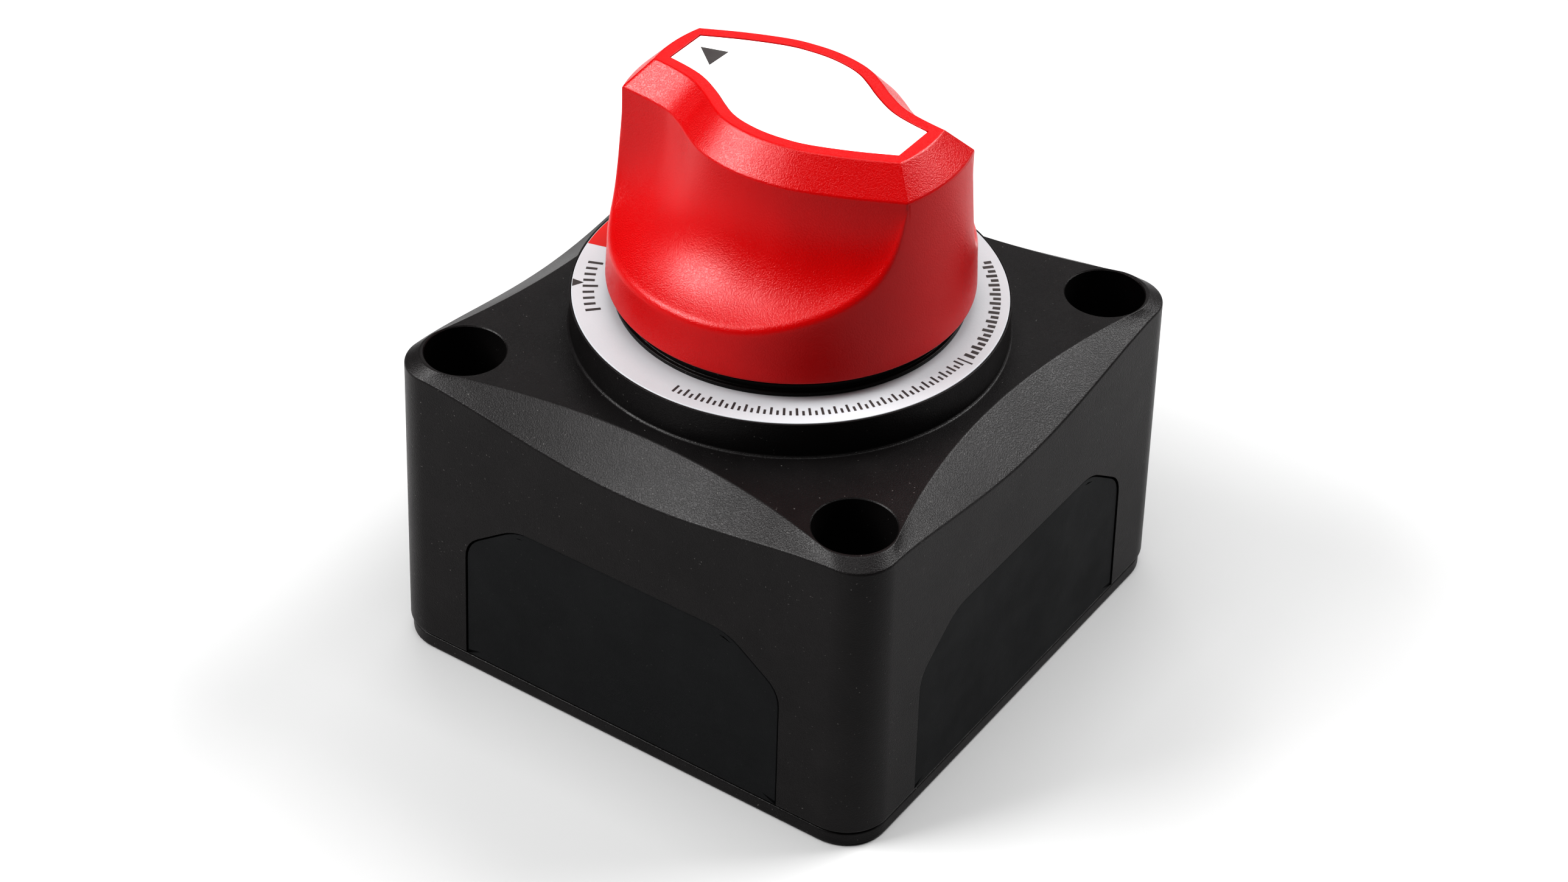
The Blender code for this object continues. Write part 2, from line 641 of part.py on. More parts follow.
def make_base_screws(parent):
    """Four pan-head screws that hold the contact base to the housing's bosses."""
    head_top = BASE_LOW_Z - GAP
    bm = bmesh.new()
    turned(bm, [
        (0, head_top - 2.0), (1.7, head_top - 2.0), (2.8, head_top - 1.2), (2.8, head_top),
        (BASE_SCREW_RADIUS, head_top), (BASE_SCREW_RADIUS, BASE_SCREW_TOP_Z - 0.8),
        (0, BASE_SCREW_TOP_Z),
    ], 12)
    screw = make_mesh("base_screw", bm, "steel")
    for number, (x, y) in enumerate(four_ways(BOSS_OFFSET), start=1):
        place(bpy.data.objects.new(f"base_screw_{number}", screw), parent, (x, y, 0))


def make_detent_ring(parent):
    """Fixed ring whose notches hold the plungers at off, on and remove."""
    bm = bmesh.new()
    stops = [angle + half for angle in (OFF_ANGLE, ON_ANGLE, REMOVE_ANGLE) for half in (0, 180)]
    outer, inner = [], []
    for angle in np.arange(0, 360, 6.0):
        away = min(abs((angle - stop + 180) % 360 - 180) for stop in stops)
        depth = DETENT_NOTCH_DEPTH * max(0.0, 1 - away / DETENT_HALF_ANGLE)
        outer.append(circle(BASE_WALL_OUTER, 1, start=angle)[0])
        inner.append(circle(BASE_WALL_INNER + depth, 1, start=angle)[0])
    ring_prism(bm, outer, inner, BASE_WALL_TOP_Z + GAP, DETENT_RING_TOP_Z)
    new_object("detent_ring", bm, "acetal_white", parent)


# --- Pieces that turn with the spindle -----------------------------------------------


def make_spindle(parent):
    """Round shaft with a square head for the knob and a square foot for the rotor."""
    round_top = BEZEL_TOP_Z + 0.1
    half = SPINDLE_SQUARE / 2
    bm = bmesh.new()
    turned(bm, [
        (0, SPINDLE_FLANGE_LOW_Z), (SPINDLE_FLANGE_RADIUS, SPINDLE_FLANGE_LOW_Z),
        (SPINDLE_FLANGE_RADIUS, ROTOR_TOP_Z), (SPINDLE_RADIUS, ROTOR_TOP_Z),
        (SPINDLE_RADIUS, round_top), (0, round_top),
    ], MEDIUM)
    spindle = new_object("spindle", bm, "steel", parent)
    bm = bmesh.new()
    box(bm, (-half, -half, SPINDLE_FOOT_Z), (half, half, SPINDLE_FLANGE_LOW_Z + 0.3))
    box(bm, (-half, -half, round_top - 0.3), (half, half, SPINDLE_TOP_Z))
    boolean(spindle, bm, "UNION", "spindle_squares")


def make_rotor(parent):
    """Insulating carrier that turns the contact bridge and holds the detent plungers."""
    bridge_top = CONTACT_TOP_Z + GAP + BRIDGE_THICKNESS
    slot_top = bridge_top + BRIDGE_TRAVEL + GAP
    bm = bmesh.new()
    turned(bm, [
        (0, ROTOR_LOW_Z), (ROTOR_RADIUS, ROTOR_LOW_Z), (ROTOR_RADIUS, ROTOR_TOP_Z - 1),
        (ROTOR_RADIUS - 1, ROTOR_TOP_Z), (0, ROTOR_TOP_Z),
    ], 48)
    rotor = new_object("rotor", bm, "inner_grey", parent)

    slot_half = BRIDGE_WIDTH / 2 + GAP
    socket_half = SPINDLE_SQUARE / 2 + GAP
    bm = bmesh.new()
    past = ROTOR_RADIUS + CUT_PAST
    box(bm, (-slot_half, -past, ROTOR_LOW_Z - CUT_PAST), (slot_half, past, slot_top))
    socket_low = (-socket_half, -socket_half, SPINDLE_FOOT_Z - GAP)
    box(bm, socket_low, (socket_half, socket_half, SPINDLE_FLANGE_LOW_Z))
    for quarter in (1, 3):
        bore = circle(PLUNGER_RADIUS + GAP, 16, (0, PLUNGER_Z))
        stand_up(bm, prism(bm, bore, PLUNGER_BORE_RADIUS, past), quarter)
    boolean(rotor, bm, "DIFFERENCE", "rotor_slot_cut")

    bm = bmesh.new()
    prism(bm, circle(SPRING_POCKET_RADIUS, 24), slot_top - 0.3, SPRING_TOP_Z + GAP)
    recess_low = SPINDLE_FLANGE_LOW_Z - GAP
    prism(bm, circle(SPINDLE_FLANGE_RADIUS + GAP, 24), recess_low, ROTOR_TOP_Z + CUT_PAST)
    boolean(rotor, bm, "DIFFERENCE", "rotor_pockets_cut")


def make_contacts(rotor_parent, bridge_parent):
    """Copper bar that joins both studs when it lies along X, and the spring above it."""
    low = CONTACT_TOP_Z + GAP
    half = BRIDGE_WIDTH / 2
    end = BRIDGE_LENGTH / 2
    bm = bmesh.new()
    corners = [(half, -end, 1.5), (half, end, 1.5), (-half, end, 1.5), (-half, -end, 1.5)]
    prism(bm, rounded_polygon(corners, 3), low, low + BRIDGE_THICKNESS)
    new_object("contact_bridge", bm, "copper", bridge_parent)
    spring_low = low + BRIDGE_THICKNESS + GAP
    coil(
        "contact_spring", "steel", rotor_parent, SPRING_POCKET_RADIUS - 1.2, 0.55,
        SPRING_TOP_Z - spring_low, 3.5, (0, 0, spring_low),
    )


def make_detents(rotor_parent, plunger_parents):
    """Two sprung plungers, opposite each other, that ride on the detent ring."""
    bm = bmesh.new()
    dome = [
        (PLUNGER_RADIUS * math.cos(angle), PLUNGER_RADIUS * math.sin(angle))
        for angle in np.linspace(0, math.pi / 2, 5)[:-1]
    ]
    length = PLUNGER_TIP_RADIUS - PLUNGER_RADIUS - PLUNGER_INNER_RADIUS
    profile = [(0, 0), (PLUNGER_RADIUS, 0)]
    profile += [(radius, length + rise) for radius, rise in dome]
    turned(bm, profile + [(0, length + PLUNGER_RADIUS)], 16)
    quarter_turn = Matrix.Rotation(math.pi / 2, 3, "Y")
    bmesh.ops.rotate(bm, cent=(0, 0, 0), matrix=quarter_turn, verts=bm.verts)
    plunger = make_mesh("detent_plunger", bm, "steel")
    spring_start = PLUNGER_BORE_RADIUS + GAP
    spring_length = PLUNGER_INNER_RADIUS - GAP - spring_start
    for letter, side, parent in zip("ab", (1, -1), plunger_parents):
        turn = 0 if side > 0 else 180
        name = f"detent_plunger_{letter}"
        at = (side * PLUNGER_INNER_RADIUS, 0, PLUNGER_Z)
        place(bpy.data.objects.new(name, plunger), parent, at, turn)
        spring = coil(
            f"detent_spring_{letter}", "steel", rotor_parent, 1.4, 0.3, spring_length, 4.0,
            (side * spring_start, 0, PLUNGER_Z), "X",
        )
        spring.rotation_euler.z = math.radians(turn)


# --- Knob ----------------------------------------------------------------------------


# Near edge of the grip's flat top, from the arrow end to the other. The far edge is the
# same curve turned half a turn.
GRIP_EDGE = (
    (-22.5, -3.2), (-17.3, -3.6), (-13.5, -4.1), (-11.0, -4.8), (-8.3, -6.3), (-6.2, -7.75),
    (-4.2, -8.95), (-2.0, -9.7), (1.0, -10.1), (4.0, -9.95), (7.2, -9.3), (12.0, -7.4),
    (17.0, -4.9), (22.5, -2.0),
)
# Height of the finger scoop's rim by the angle round the knob, in degrees.
SCOOP_RIM = (
    (-163.5, 70.3), (-162.6, 66.0), (-161.0, 61.0), (-158.5, 57.7), (-154.0, 55.8),
    (-146.0, 54.9), (-122.0, 54.5), (-98.0, 54.7), (-72.0, 55.3), (-49.0, 57.5), (-34.0, 60.0),
    (-27.0, 62.3), (-23.0, 65.0), (-20.5, 68.0), (-19.0, 70.3),
)


def smooth_curve(points, steps):
    """Catmull-Rom curve through the points, from the second to the last but one."""
    knots = np.array(points, float)
    share = np.linspace(0, 1, steps, endpoint=False)[:, None]
    pieces = []
    for a, b, c, d in zip(knots, knots[1:], knots[2:], knots[3:]):
        bend = 2 * a - 5 * b + 4 * c - d
        swing = 3 * b - a - 3 * c + d
        pieces.append(b + share * ((c - a) + share * (bend + share * swing)) / 2)
    return np.vstack(pieces + [knots[-2:-1]])


def grip_edge(offset):
    """Near edge of the grip moved outwards by a distance, as a fine polyline."""
    first, last = np.array(GRIP_EDGE[0]), np.array(GRIP_EDGE[-1])
    ends = 2 * first - GRIP_EDGE[1], 2 * last - GRIP_EDGE[-2]
    line = smooth_curve([ends[0], *GRIP_EDGE, ends[1]], 12)
    along = np.gradient(line, axis=0)
    along /= np.linalg.norm(along, axis=1)[:, None]
    return line + offset * np.column_stack([along[:, 1], -along[:, 0]])


def grip_radius(angles, offset, limit):
    """Radius of the grip's outline at each angle, never beyond the round limit."""
    near = grip_edge(offset)
    outline = np.vstack([near, -near])
    radius = np.hypot(outline[:, 0], outline[:, 1])
    bearing = np.arctan2(outline[:, 1], outline[:, 0])
    order = np.argsort(bearing)
    found = np.interp(angles, bearing[order], radius[order], period=2 * math.pi)
    return np.minimum(found, limit)


def skirt_radius(height):
    """Radius of the knob's round outside, which tapers a little towards the top."""
    share = (height - KNOB_BASE_Z) / (KNOB_SHOULDER_Z - KNOB_BASE_Z)
    return KNOB_BASE_RADIUS + (KNOB_SHOULDER_RADIUS - KNOB_BASE_RADIUS) * share


def scoop_rim(angles):
    """Height of the scoop's rim at each angle, the same on both sides of the grip."""
    table = np.array(SCOOP_RIM)
    half_turn = (np.degrees(angles) % 180.0) - 180.0
    return np.interp(half_turn, table[:, 0], table[:, 1], KNOB_SHOULDER_Z, KNOB_SHOULDER_Z)


def knob_rings(angles, cove_steps):
    """Rings of points down the knob: top edge, shoulder, scoop, rim and skirt."""
    top = grip_radius(angles, 0.0, KNOB_TOP_RADIUS)
    shoulder = grip_radius(angles, KNOB_CHAMFER_WIDTH, KNOB_SHOULDER_RADIUS)
    rim_z = scoop_rim(angles)
    rim = skirt_radius(rim_z)
    shoulder = np.minimum(shoulder, rim)
    rings = [(top, np.full_like(top, KNOB_TOP_Z))]
    for turn in np.linspace(0, COVE_END_ANGLE, cove_steps + 1):
        out = (1 - math.cos(turn)) / (1 - math.cos(COVE_END_ANGLE))
        down = math.sin(turn) / math.sin(COVE_END_ANGLE)
        height = KNOB_SHOULDER_Z + (rim_z - KNOB_SHOULDER_Z) * down
        rings.append((shoulder + (rim - shoulder) * out, height))
    for share in (0.5, 1.0):
        height = rim_z + (KNOB_BASE_Z - rim_z) * share
        rings.append((skirt_radius(height), height))
    return [
        np.column_stack([radius * np.cos(angles), radius * np.sin(angles), height])
        for radius, height in rings
    ]


def inset_top(margin):
    """Outline of the insert: the grip's top edge moved inwards, its ends cut straight."""
    near = grip_edge(-margin)
    kept = near[np.abs(near[:, 0]) < INSERT_HALF_LENGTH - margin + INSERT_MARGIN][::4]
    limit = INSERT_HALF_LENGTH - margin + INSERT_MARGIN
    left = np.interp(-limit, near[:, 0], near[:, 1])
    right = np.interp(limit, near[:, 0], near[:, 1])
    near = np.vstack([(-limit, left), kept, (limit, right)])
    return [tuple(point) for point in np.vstack([near, -near])]


def make_knob(parent):
    """Red grip knob: tapered skirt, S-shaped grip between two scoops, hollow underneath."""
    angles = np.radians(np.arange(0, 360, 4.5))
    bm = bmesh.new()
    loops = []
    for ring in knob_rings(angles, 6):
        verts = [bm.verts.new(point) for point in ring]
        loops.append(verts)
    count = len(angles)
    for upper, lower in zip(loops, loops[1:]):
        for index in range(count):
            after = (index + 1) % count
            bm.faces.new((upper[index], lower[index], lower[after], upper[after]))
    bm.faces.new(loops[0])
    bm.faces.new(loops[-1][::-1])
    knob = new_object("knob", bm, "knob_red", parent)

    socket_half = SPINDLE_SQUARE / 2 + GAP
    bm = bmesh.new()
    prism(bm, circle(BEZEL_SPIGOT_RADIUS + 0.5, MEDIUM * 2), KNOB_BASE_Z - CUT_PAST, KNOB_POCKET_Z)
    prism(bm, inset_top(INSERT_MARGIN), KNOB_TOP_Z - INSERT_DEPTH, KNOB_TOP_Z + CUT_PAST)
    boolean(knob, bm, "DIFFERENCE", "knob_pocket_cut")
    bm = bmesh.new()
    turned(bm, [
        (KNOB_BOSS_RADIUS, KNOB_POCKET_Z - 0.2), (KNOB_HOLLOW_RADIUS, KNOB_POCKET_Z - 0.2),
        (KNOB_HOLLOW_RADIUS, KNOB_HOLLOW_Z), (KNOB_BOSS_RADIUS, KNOB_HOLLOW_Z),
    ], MEDIUM)
    low = (-socket_half, -socket_half, KNOB_POCKET_Z - 0.5)
    box(bm, low, (socket_half, socket_half, SPINDLE_TOP_Z + GAP))
    boolean(knob, bm, "DIFFERENCE", "knob_socket_cut")

    bm = bmesh.new()
    low = KNOB_TOP_Z - INSERT_DEPTH + GAP
    prism(bm, inset_top(INSERT_MARGIN + GAP), low, low + INSERT_THICKNESS)
    new_object("knob_insert", bm, "insert_white", parent)


# --- Assembly ------------------------------------------------------------------------


def empty(name, parent=None, location=(0, 0, 0)):
    """A plain axis that pieces hang from."""
    return place(bpy.data.objects.new(name, None), parent, location)


def main():
    for old in list(bpy.data.objects):
        bpy.data.objects.remove(old, do_unlink=True)
    body = empty("body_axis")
    shaft = empty("shaft_axis", body)
    bridge = empty("bridge_axis", shaft)
    plungers = [empty(f"plunger_axis_{letter}", shaft) for letter in "ab"]
    grip = empty("knob_axis", shaft)

    make_housing(body)
    make_back_cover(body)
    make_side_covers(body)
    make_label_ring(body)
    make_bezel(body)
    make_bearing(body)
    make_contact_base(body)
    make_terminals(body)
    make_base_screws(body)
    make_detent_ring(body)
    make_spindle(shaft)
    make_rotor(shaft)
    make_contacts(shaft, bridge)
    make_detents(shaft, plungers)
    make_knob(grip)


if __name__ == "__main__":
    main()
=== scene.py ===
"""Finished surfaces of a battery isolator switch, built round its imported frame.

The frame's nodes give the sizes. Functions work in millimetres, on whole arrays of points, and
new_piece turns the result into metres. A ring is an array of points (count, 3) that goes round
the Z axis or round a wire, and a stack of rings (rings, count, 3) is the skin of a piece.
"""

import json
import math

import bmesh
import bpy
import numpy as np
from bpy.props import FloatProperty, FloatVectorProperty, PointerProperty
from mathutils import Matrix, Vector


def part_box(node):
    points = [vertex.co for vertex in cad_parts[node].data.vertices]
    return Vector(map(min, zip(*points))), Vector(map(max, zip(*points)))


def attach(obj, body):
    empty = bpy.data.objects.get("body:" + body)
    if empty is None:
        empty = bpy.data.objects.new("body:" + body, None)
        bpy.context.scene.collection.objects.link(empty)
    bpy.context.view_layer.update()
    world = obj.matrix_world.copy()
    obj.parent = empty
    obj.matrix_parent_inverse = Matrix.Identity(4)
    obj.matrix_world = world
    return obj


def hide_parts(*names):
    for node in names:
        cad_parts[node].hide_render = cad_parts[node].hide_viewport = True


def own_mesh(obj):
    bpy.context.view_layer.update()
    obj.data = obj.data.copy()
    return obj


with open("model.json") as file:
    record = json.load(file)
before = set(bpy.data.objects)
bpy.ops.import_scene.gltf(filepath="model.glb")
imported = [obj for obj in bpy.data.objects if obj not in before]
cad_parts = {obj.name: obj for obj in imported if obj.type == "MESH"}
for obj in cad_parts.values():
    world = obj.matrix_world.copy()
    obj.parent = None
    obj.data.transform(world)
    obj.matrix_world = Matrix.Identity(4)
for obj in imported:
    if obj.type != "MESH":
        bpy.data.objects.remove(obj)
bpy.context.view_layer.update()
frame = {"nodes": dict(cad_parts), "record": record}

bl_info = {
    "name": "Battery switch finisher",
    "version": (1, 0, 0),
    "blender": (4, 5, 0),
    "location": "View3D > Sidebar > Battery switch",
    "description": "Builds the finished surfaces of a battery isolator switch",
    "category": "Object",
}

MM = 0.001
MERGE_DISTANCE = 2e-6
# Angle between two faces, in degrees, past which their edge stays sharp after a cut.
CARVED_SHARP = 30.0


def node_box(name):
    """Lowest and highest corner of a CAD node, in millimetres."""
    low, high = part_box(name)
    return np.array(low) / MM, np.array(high) / MM


# --- Driving sizes, in millimetres ---------------------------------------------------

HOUSING_LOW, HOUSING_HIGH = node_box("housing")
BEZEL_LOW, BEZEL_HIGH = node_box("bezel")
KNOB_LOW, KNOB_HIGH = node_box("knob")
COVER_HIGH = node_box("side_cover_front")[1]
BACK_HIGH = node_box("back_cover")[1]
RING_HIGH = node_box("label_ring")[1]
SPINDLE_HIGH = node_box("spindle")[1]
INSERT_LOW = node_box("knob_insert")[0]

# Body.
BODY_HALF = HOUSING_HIGH[0]
BODY_CORNER = 5.7
BODY_DRAFT = 0.74
FOOT_Z = HOUSING_LOW[2]
PLINTH_TOP_Z = HOUSING_HIGH[2]
PLINTH_HEIGHT = 3.8
TOP_Z = PLINTH_TOP_Z - PLINTH_HEIGHT
PLINTH_RADIUS = RING_HIGH[0] + 0.25
PLINTH_APRON = 1.15
PLINTH_FILLET = 0.24
LIP_TOP_Z = RING_HIGH[2] - 0.06
FOOT_LAND = 1.2
WALL = 3.0
CEILING_Z = TOP_Z - 2.7
CHAMBER_RADIUS = 19.3
CHAMBER_TOP_Z = TOP_Z + 1.5
BORE_RADIUS = 8.4
SCREW_OFFSET = BODY_HALF - 7.25
SCREW_PLACES = [(x, y) for x in (-SCREW_OFFSET, SCREW_OFFSET) for y in (-SCREW_OFFSET, SCREW_OFFSET)]
SCREW_RADIUS = 3.25
HEAD_RADIUS = 4.83
HEAD_SEAT_Z = 12.0
POST_RADIUS = 7.25
CHAMFER_CORNER_Z = TOP_Z - 1.1
CHAMFER_DIP = 3.3
CHAMFER_MIDDLE_Y = 28.2
CHAMFER_END_X = 26.6
CHAMFER_END_Y = 32.35
CHAMFER_LAND = 5.35

# Covers and label ring.
COVER_HALF = COVER_HIGH[0] + 0.3
COVER_TOP_Z = 24.9
COVER_TOP_HALF = COVER_HALF - 7.65
COVER_SHOULDER_DROP = 5.3
COVER_LEAN = 0.25
COVER_CORNER = 2.2
COVER_FACE_INSETS = (9.0, 5.0, 2.0)
COVER_GAP = 0.17
COVER_RECESS = 0.12
COVER_FLANGE_HALF = 19.9
COVER_FLANGE_TOP_Z = COVER_HIGH[2]
COVER_FLANGE_THICKNESS = 1.2
BACK_THICKNESS = 2.0
RING_INNER = 18.6
RING_GAP = 0.03
# Print on the ring and the insert: its plates' thickness, and how deep they sink in.
PRINT_THICKNESS = 0.03
PRINT_SINK = 0.01
# Bearings in degrees, then radii: the red sector, and the corners of the small pointer.
RED_SECTOR = (-195.0, -165.0, 21.0, RING_HIGH[0] - 0.12)
POINTER_BEARINGS, POINTER_RADII = (-148.2, -144.9, -146.6), (25.7, 25.7, 24.37)
# The ring's marks: bearings in degrees, width, how often a tick is long, the inner radius of a
# long and of a short tick, and the outer radius.
SCALE_TICKS = (
    (np.arange(-89.0, -1.0, 1.75), 0.27, 2, 23.05, 23.55, 24.35),
    (np.arange(3.0, 51.0, 2.2), 0.5, 2, 23.4, 23.8, 24.7),
    ([0.3], 0.22, 1, 23.1, 23.1, 25.1),
    (np.linspace(-133.5, -156.5, 9), 0.42, 4, 22.65, 23.1, 24.45),
    ([90.0], 0.5, 1, 22.6, 22.6, 25.0),
)

# Knob.
KNOB_BASE_RADIUS = KNOB_HIGH[0]
SHOULDER_Z = KNOB_HIGH[2] - 3.3
SHOULDER_RADIUS = KNOB_BASE_RADIUS - 1.0
GRIP_RADIUS = 17.7
CHAMFER_WIDTH = 3.1
COVE_END = math.radians(56.0)
COVE_POWER = 0.82
INSERT_MARGIN = 1.45
INSERT_GAP = 0.07
INSERT_HALF_LENGTH = 16.1
INSERT_SINK = 0.1
RECESS_DEPTH = 1.3
SOCKET_HALF = 4.5

# Springs: radius of the wire, and number of turns.
CONTACT_WIRE, CONTACT_TURNS = 0.55, 3.5
DETENT_WIRE, DETENT_TURNS = 0.3, 4.0


# --- Arrays of points ----------------------------------------------------------------


def polar(radius, angle, z):
    """Points at a radius and angle round Z, at a height: (r cos a, r sin a, z)."""
    radius, angle, z = np.broadcast_arrays(radius, angle, z)
    return np.stack([radius * np.cos(angle), radius * np.sin(angle), z], axis=-1)


def unit(vectors):
    """Each vector divided by its length."""
    length = np.linalg.norm(vectors, axis=-1, keepdims=True)
    return vectors / np.maximum(length, 1e-9)


def bezier(start, corner, end, t):
    """The quadratic Bezier curve (1 - t)^2 A + 2 t (1 - t) B + t^2 C."""
    return (1 - t) ** 2 * start + 2 * t * (1 - t) * corner + t ** 2 * end


def square_radius(half, angle):
    """Distance from the middle of a square to its side, at each angle."""
    return half / np.maximum(np.abs(np.cos(angle)), np.abs(np.sin(angle)))


def soften(rings, reaches, steps=5):
    """Round the corners of a stack of rings.

    A corner B with a reach r becomes the quadratic Bezier curve from A to C, with B as its
    control point: A lies r back towards the ring before and C lies r on towards the ring
    after. A ring a little outside each end keeps the flat beside the curve flat.
    """
    soft = []
    last = len(rings) - 1
    for index, (corner, reach) in enumerate(zip(rings, reaches)):
        corner = np.asarray(corner, float)
        if np.all(np.asarray(reach) == 0) or index in (0, last):
            soft.append(corner)
            continue
        before = rings[index - 1] - corner
        after = rings[index + 1] - corner
        shares = []
        for side in (before, after):
            length = np.maximum(np.linalg.norm(side, axis=-1, keepdims=True), 1e-9)
            shares.append(np.minimum(np.asarray(reach) / length, 0.45))
        start, end = corner + before * shares[0], corner + after * shares[1]
        soft.append(corner + before * shares[0] * 1.1)
        soft += [bezier(start, corner, end, t) for t in np.linspace(0, 1, steps)]
        soft.append(corner + after * shares[1] * 1.1)
    return soft


def soft_outline(corners, steps=6):
    """Closed outline through (x, y, reach) corners, each rounded by a quadratic Bezier curve."""
    table = np.array(corners, float)
    points, reaches = table[:, :2], table[:, 2]
    before, after = np.roll(points, 1, axis=0) - points, np.roll(points, -1, axis=0) - points
    start = points + unit(before) * reaches[:, None]
    end = points + unit(after) * reaches[:, None]
    t = np.linspace(0, 1, steps)[:, None, None]
    return bezier(start, points, end, t).transpose(1, 0, 2).reshape(-1, 2)


def offset_outline(outline, distance):
    """A closed outline moved outwards, each point along the mean normal of its two sides."""
    sides = unit(np.roll(outline, -1, axis=0) - outline)
    across = np.column_stack([sides[:, 1], -sides[:, 0]])
    normal = unit(across + np.roll(across, 1, axis=0))
    stretch = np.maximum((normal * across).sum(axis=1, keepdims=True), 0.5)
    return outline + normal * distance / stretch


def profile_rings(profile, angles):
    """A (radius, z, reach) profile carried round Z through the angles, its corners softened.

    A radius or a height may be an array, with one value for each angle.
    """
    rings = [polar(radius, angles, z) for radius, z, _ in profile]
    return soften(rings, [reach for _, _, reach in profile])


def turned_rings(profile, count):
    """A (radius, z, reach) profile turned round Z in equal steps."""
    return profile_rings(profile, np.linspace(0, 2 * math.pi, count, endpoint=False))


# --- Meshes --------------------------------------------------------------------------


def skin_faces(rings, count, closed_tube):
    """Quads that join each ring to the next, and fans to a middle point at open ends."""
    index = np.arange(count)
    after = (index + 1) % count
    pairs = [(ring, ring + 1) for ring in range(rings - 1)]
    if closed_tube:
        pairs.append((rings - 1, 0))
    quads = np.vstack([
        np.column_stack([a * count + index, b * count + index, b * count + after, a * count + after])
        for a, b in pairs
    ])
    faces = quads.tolist()
    if not closed_tube:
        first = np.column_stack([np.full(count, rings * count), index, after])
        base = (rings - 1) * count
        last = np.column_stack([np.full(count, rings * count + 1), base + after, base + index])
        faces += first.tolist() + last.tolist()
    return faces


def new_piece(name, rings, material, closed_tube=False, sharp=35.0):
    """Make a piece from a stack of rings in millimetres.

    A tube is joined end to end, like a washer. Any other stack is closed by a fan to the
    middle of its first and last ring. Coincident points are merged, and the faces are turned
    outwards.
    """
    stack = np.stack(rings)
    count = stack.shape[1]
    points = stack.reshape(-1, 3)
    if not closed_tube:
        points = np.vstack([points, stack[0].mean(axis=0), stack[-1].mean(axis=0)])
    mesh = bpy.data.meshes.new(name)
    mesh.from_pydata((points * MM).tolist(), [], skin_faces(len(stack), count, closed_tube))
    return link_piece(name, mesh, material, sharp)


def link_piece(name, mesh, material, sharp=35.0):
    """Clean a mesh, shade it smooth but for its sharp edges, and put it in the scene."""
    bm = bmesh.new()
    bm.from_mesh(mesh)
    bmesh.ops.remove_doubles(bm, verts=bm.verts, dist=MERGE_DISTANCE)
    bmesh.ops.dissolve_degenerate(bm, edges=bm.edges, dist=MERGE_DISTANCE / 2)
    bmesh.ops.recalc_face_normals(bm, faces=bm.faces)
    bm.to_mesh(mesh)
    bm.free()
    mesh.shade_smooth()
    mesh.set_sharp_from_angle(angle=math.radians(sharp))
    mesh.materials.clear()
    mesh.materials.append(material)
    piece = bpy.data.objects.new(name, mesh)
    bpy.context.scene.collection.objects.link(piece)
    return piece


def carve(piece, cutter):
    """Cut a cutter out of a piece, and remove the cutter."""
    modifier = piece.modifiers.new("carve", "BOOLEAN")
    modifier.operation = "DIFFERENCE"
    modifier.solver = "EXACT"
    modifier.object = cutter
    graph = bpy.context.evaluated_depsgraph_get()
    result = bpy.data.meshes.new_from_object(piece.evaluated_get(graph))
    piece.modifiers.clear()
    piece.data = result
    bpy.data.objects.remove(cutter, do_unlink=True)
    result.shade_smooth()
    result.set_sharp_from_angle(angle=math.radians(CARVED_SHARP))


def belongs_to(piece, body, slot, *nodes):
    """Put a finished piece under its body and hide the CAD nodes that it stands for. The slot is not
    used.
    """
    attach(piece, body)
    if nodes:
        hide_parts(*nodes)


# --- Shader groups -------------------------------------------------------------------


def add_node(tree, kind, settings=None, **inputs):
    """Add a node, set its properties, and set or link its inputs by name, or by number as i0."""
    node = tree.nodes.new(kind)
    for key, value in (settings or {}).items():
        setattr(node, key, value)
    for key, value in inputs.items():
        socket = node.inputs[int(key[1:]) if key[0] == "i" and key[1:].isdigit() else key]
        if isinstance(value, bpy.types.NodeSocket):
            tree.links.new(value, socket)
        else:
            socket.default_value = value
    return node


def group_tree(name, inputs, outputs):
    """An empty shader group with float inputs {name: default} and float outputs."""
    tree = bpy.data.node_groups.new(name, "ShaderNodeTree")
    for key, value in inputs.items():
        socket = tree.interface.new_socket(key, in_out="INPUT", socket_type="NodeSocketFloat")
        socket.default_value = value
    for key in outputs:
        tree.interface.new_socket(key, in_out="OUTPUT", socket_type="NodeSocketFloat")
    return tree, tree.nodes.new("NodeGroupInput"), tree.nodes.new("NodeGroupOutput")


def maths(tree, operation, first, second):
    """One Math node's value."""
    return add_node(tree, "ShaderNodeMath", {"operation": operation}, i0=first, i1=second).outputs[0]


def noise(tree, place, scale, detail, roughness=0.5):
    """A Noise texture's value at a place."""
    return add_node(
        tree, "ShaderNodeTexNoise", Vector=place, Scale=scale, Detail=detail, Roughness=roughness,
    ).outputs[0]


def spread(tree, value, low, high, **ends):
    """A value carried from low..high to 0..1, or to other ends."""
    limits = {"From Min": low, "From Max": high}
    return add_node(tree, "ShaderNodeMapRange", Value=value, **limits, **ends).outputs[0]


def built_once(build):
    """Build a shader group when it is first asked for, and give out the same one later."""
    return lambda: bpy.data.node_groups.get(build.__name__) or build()


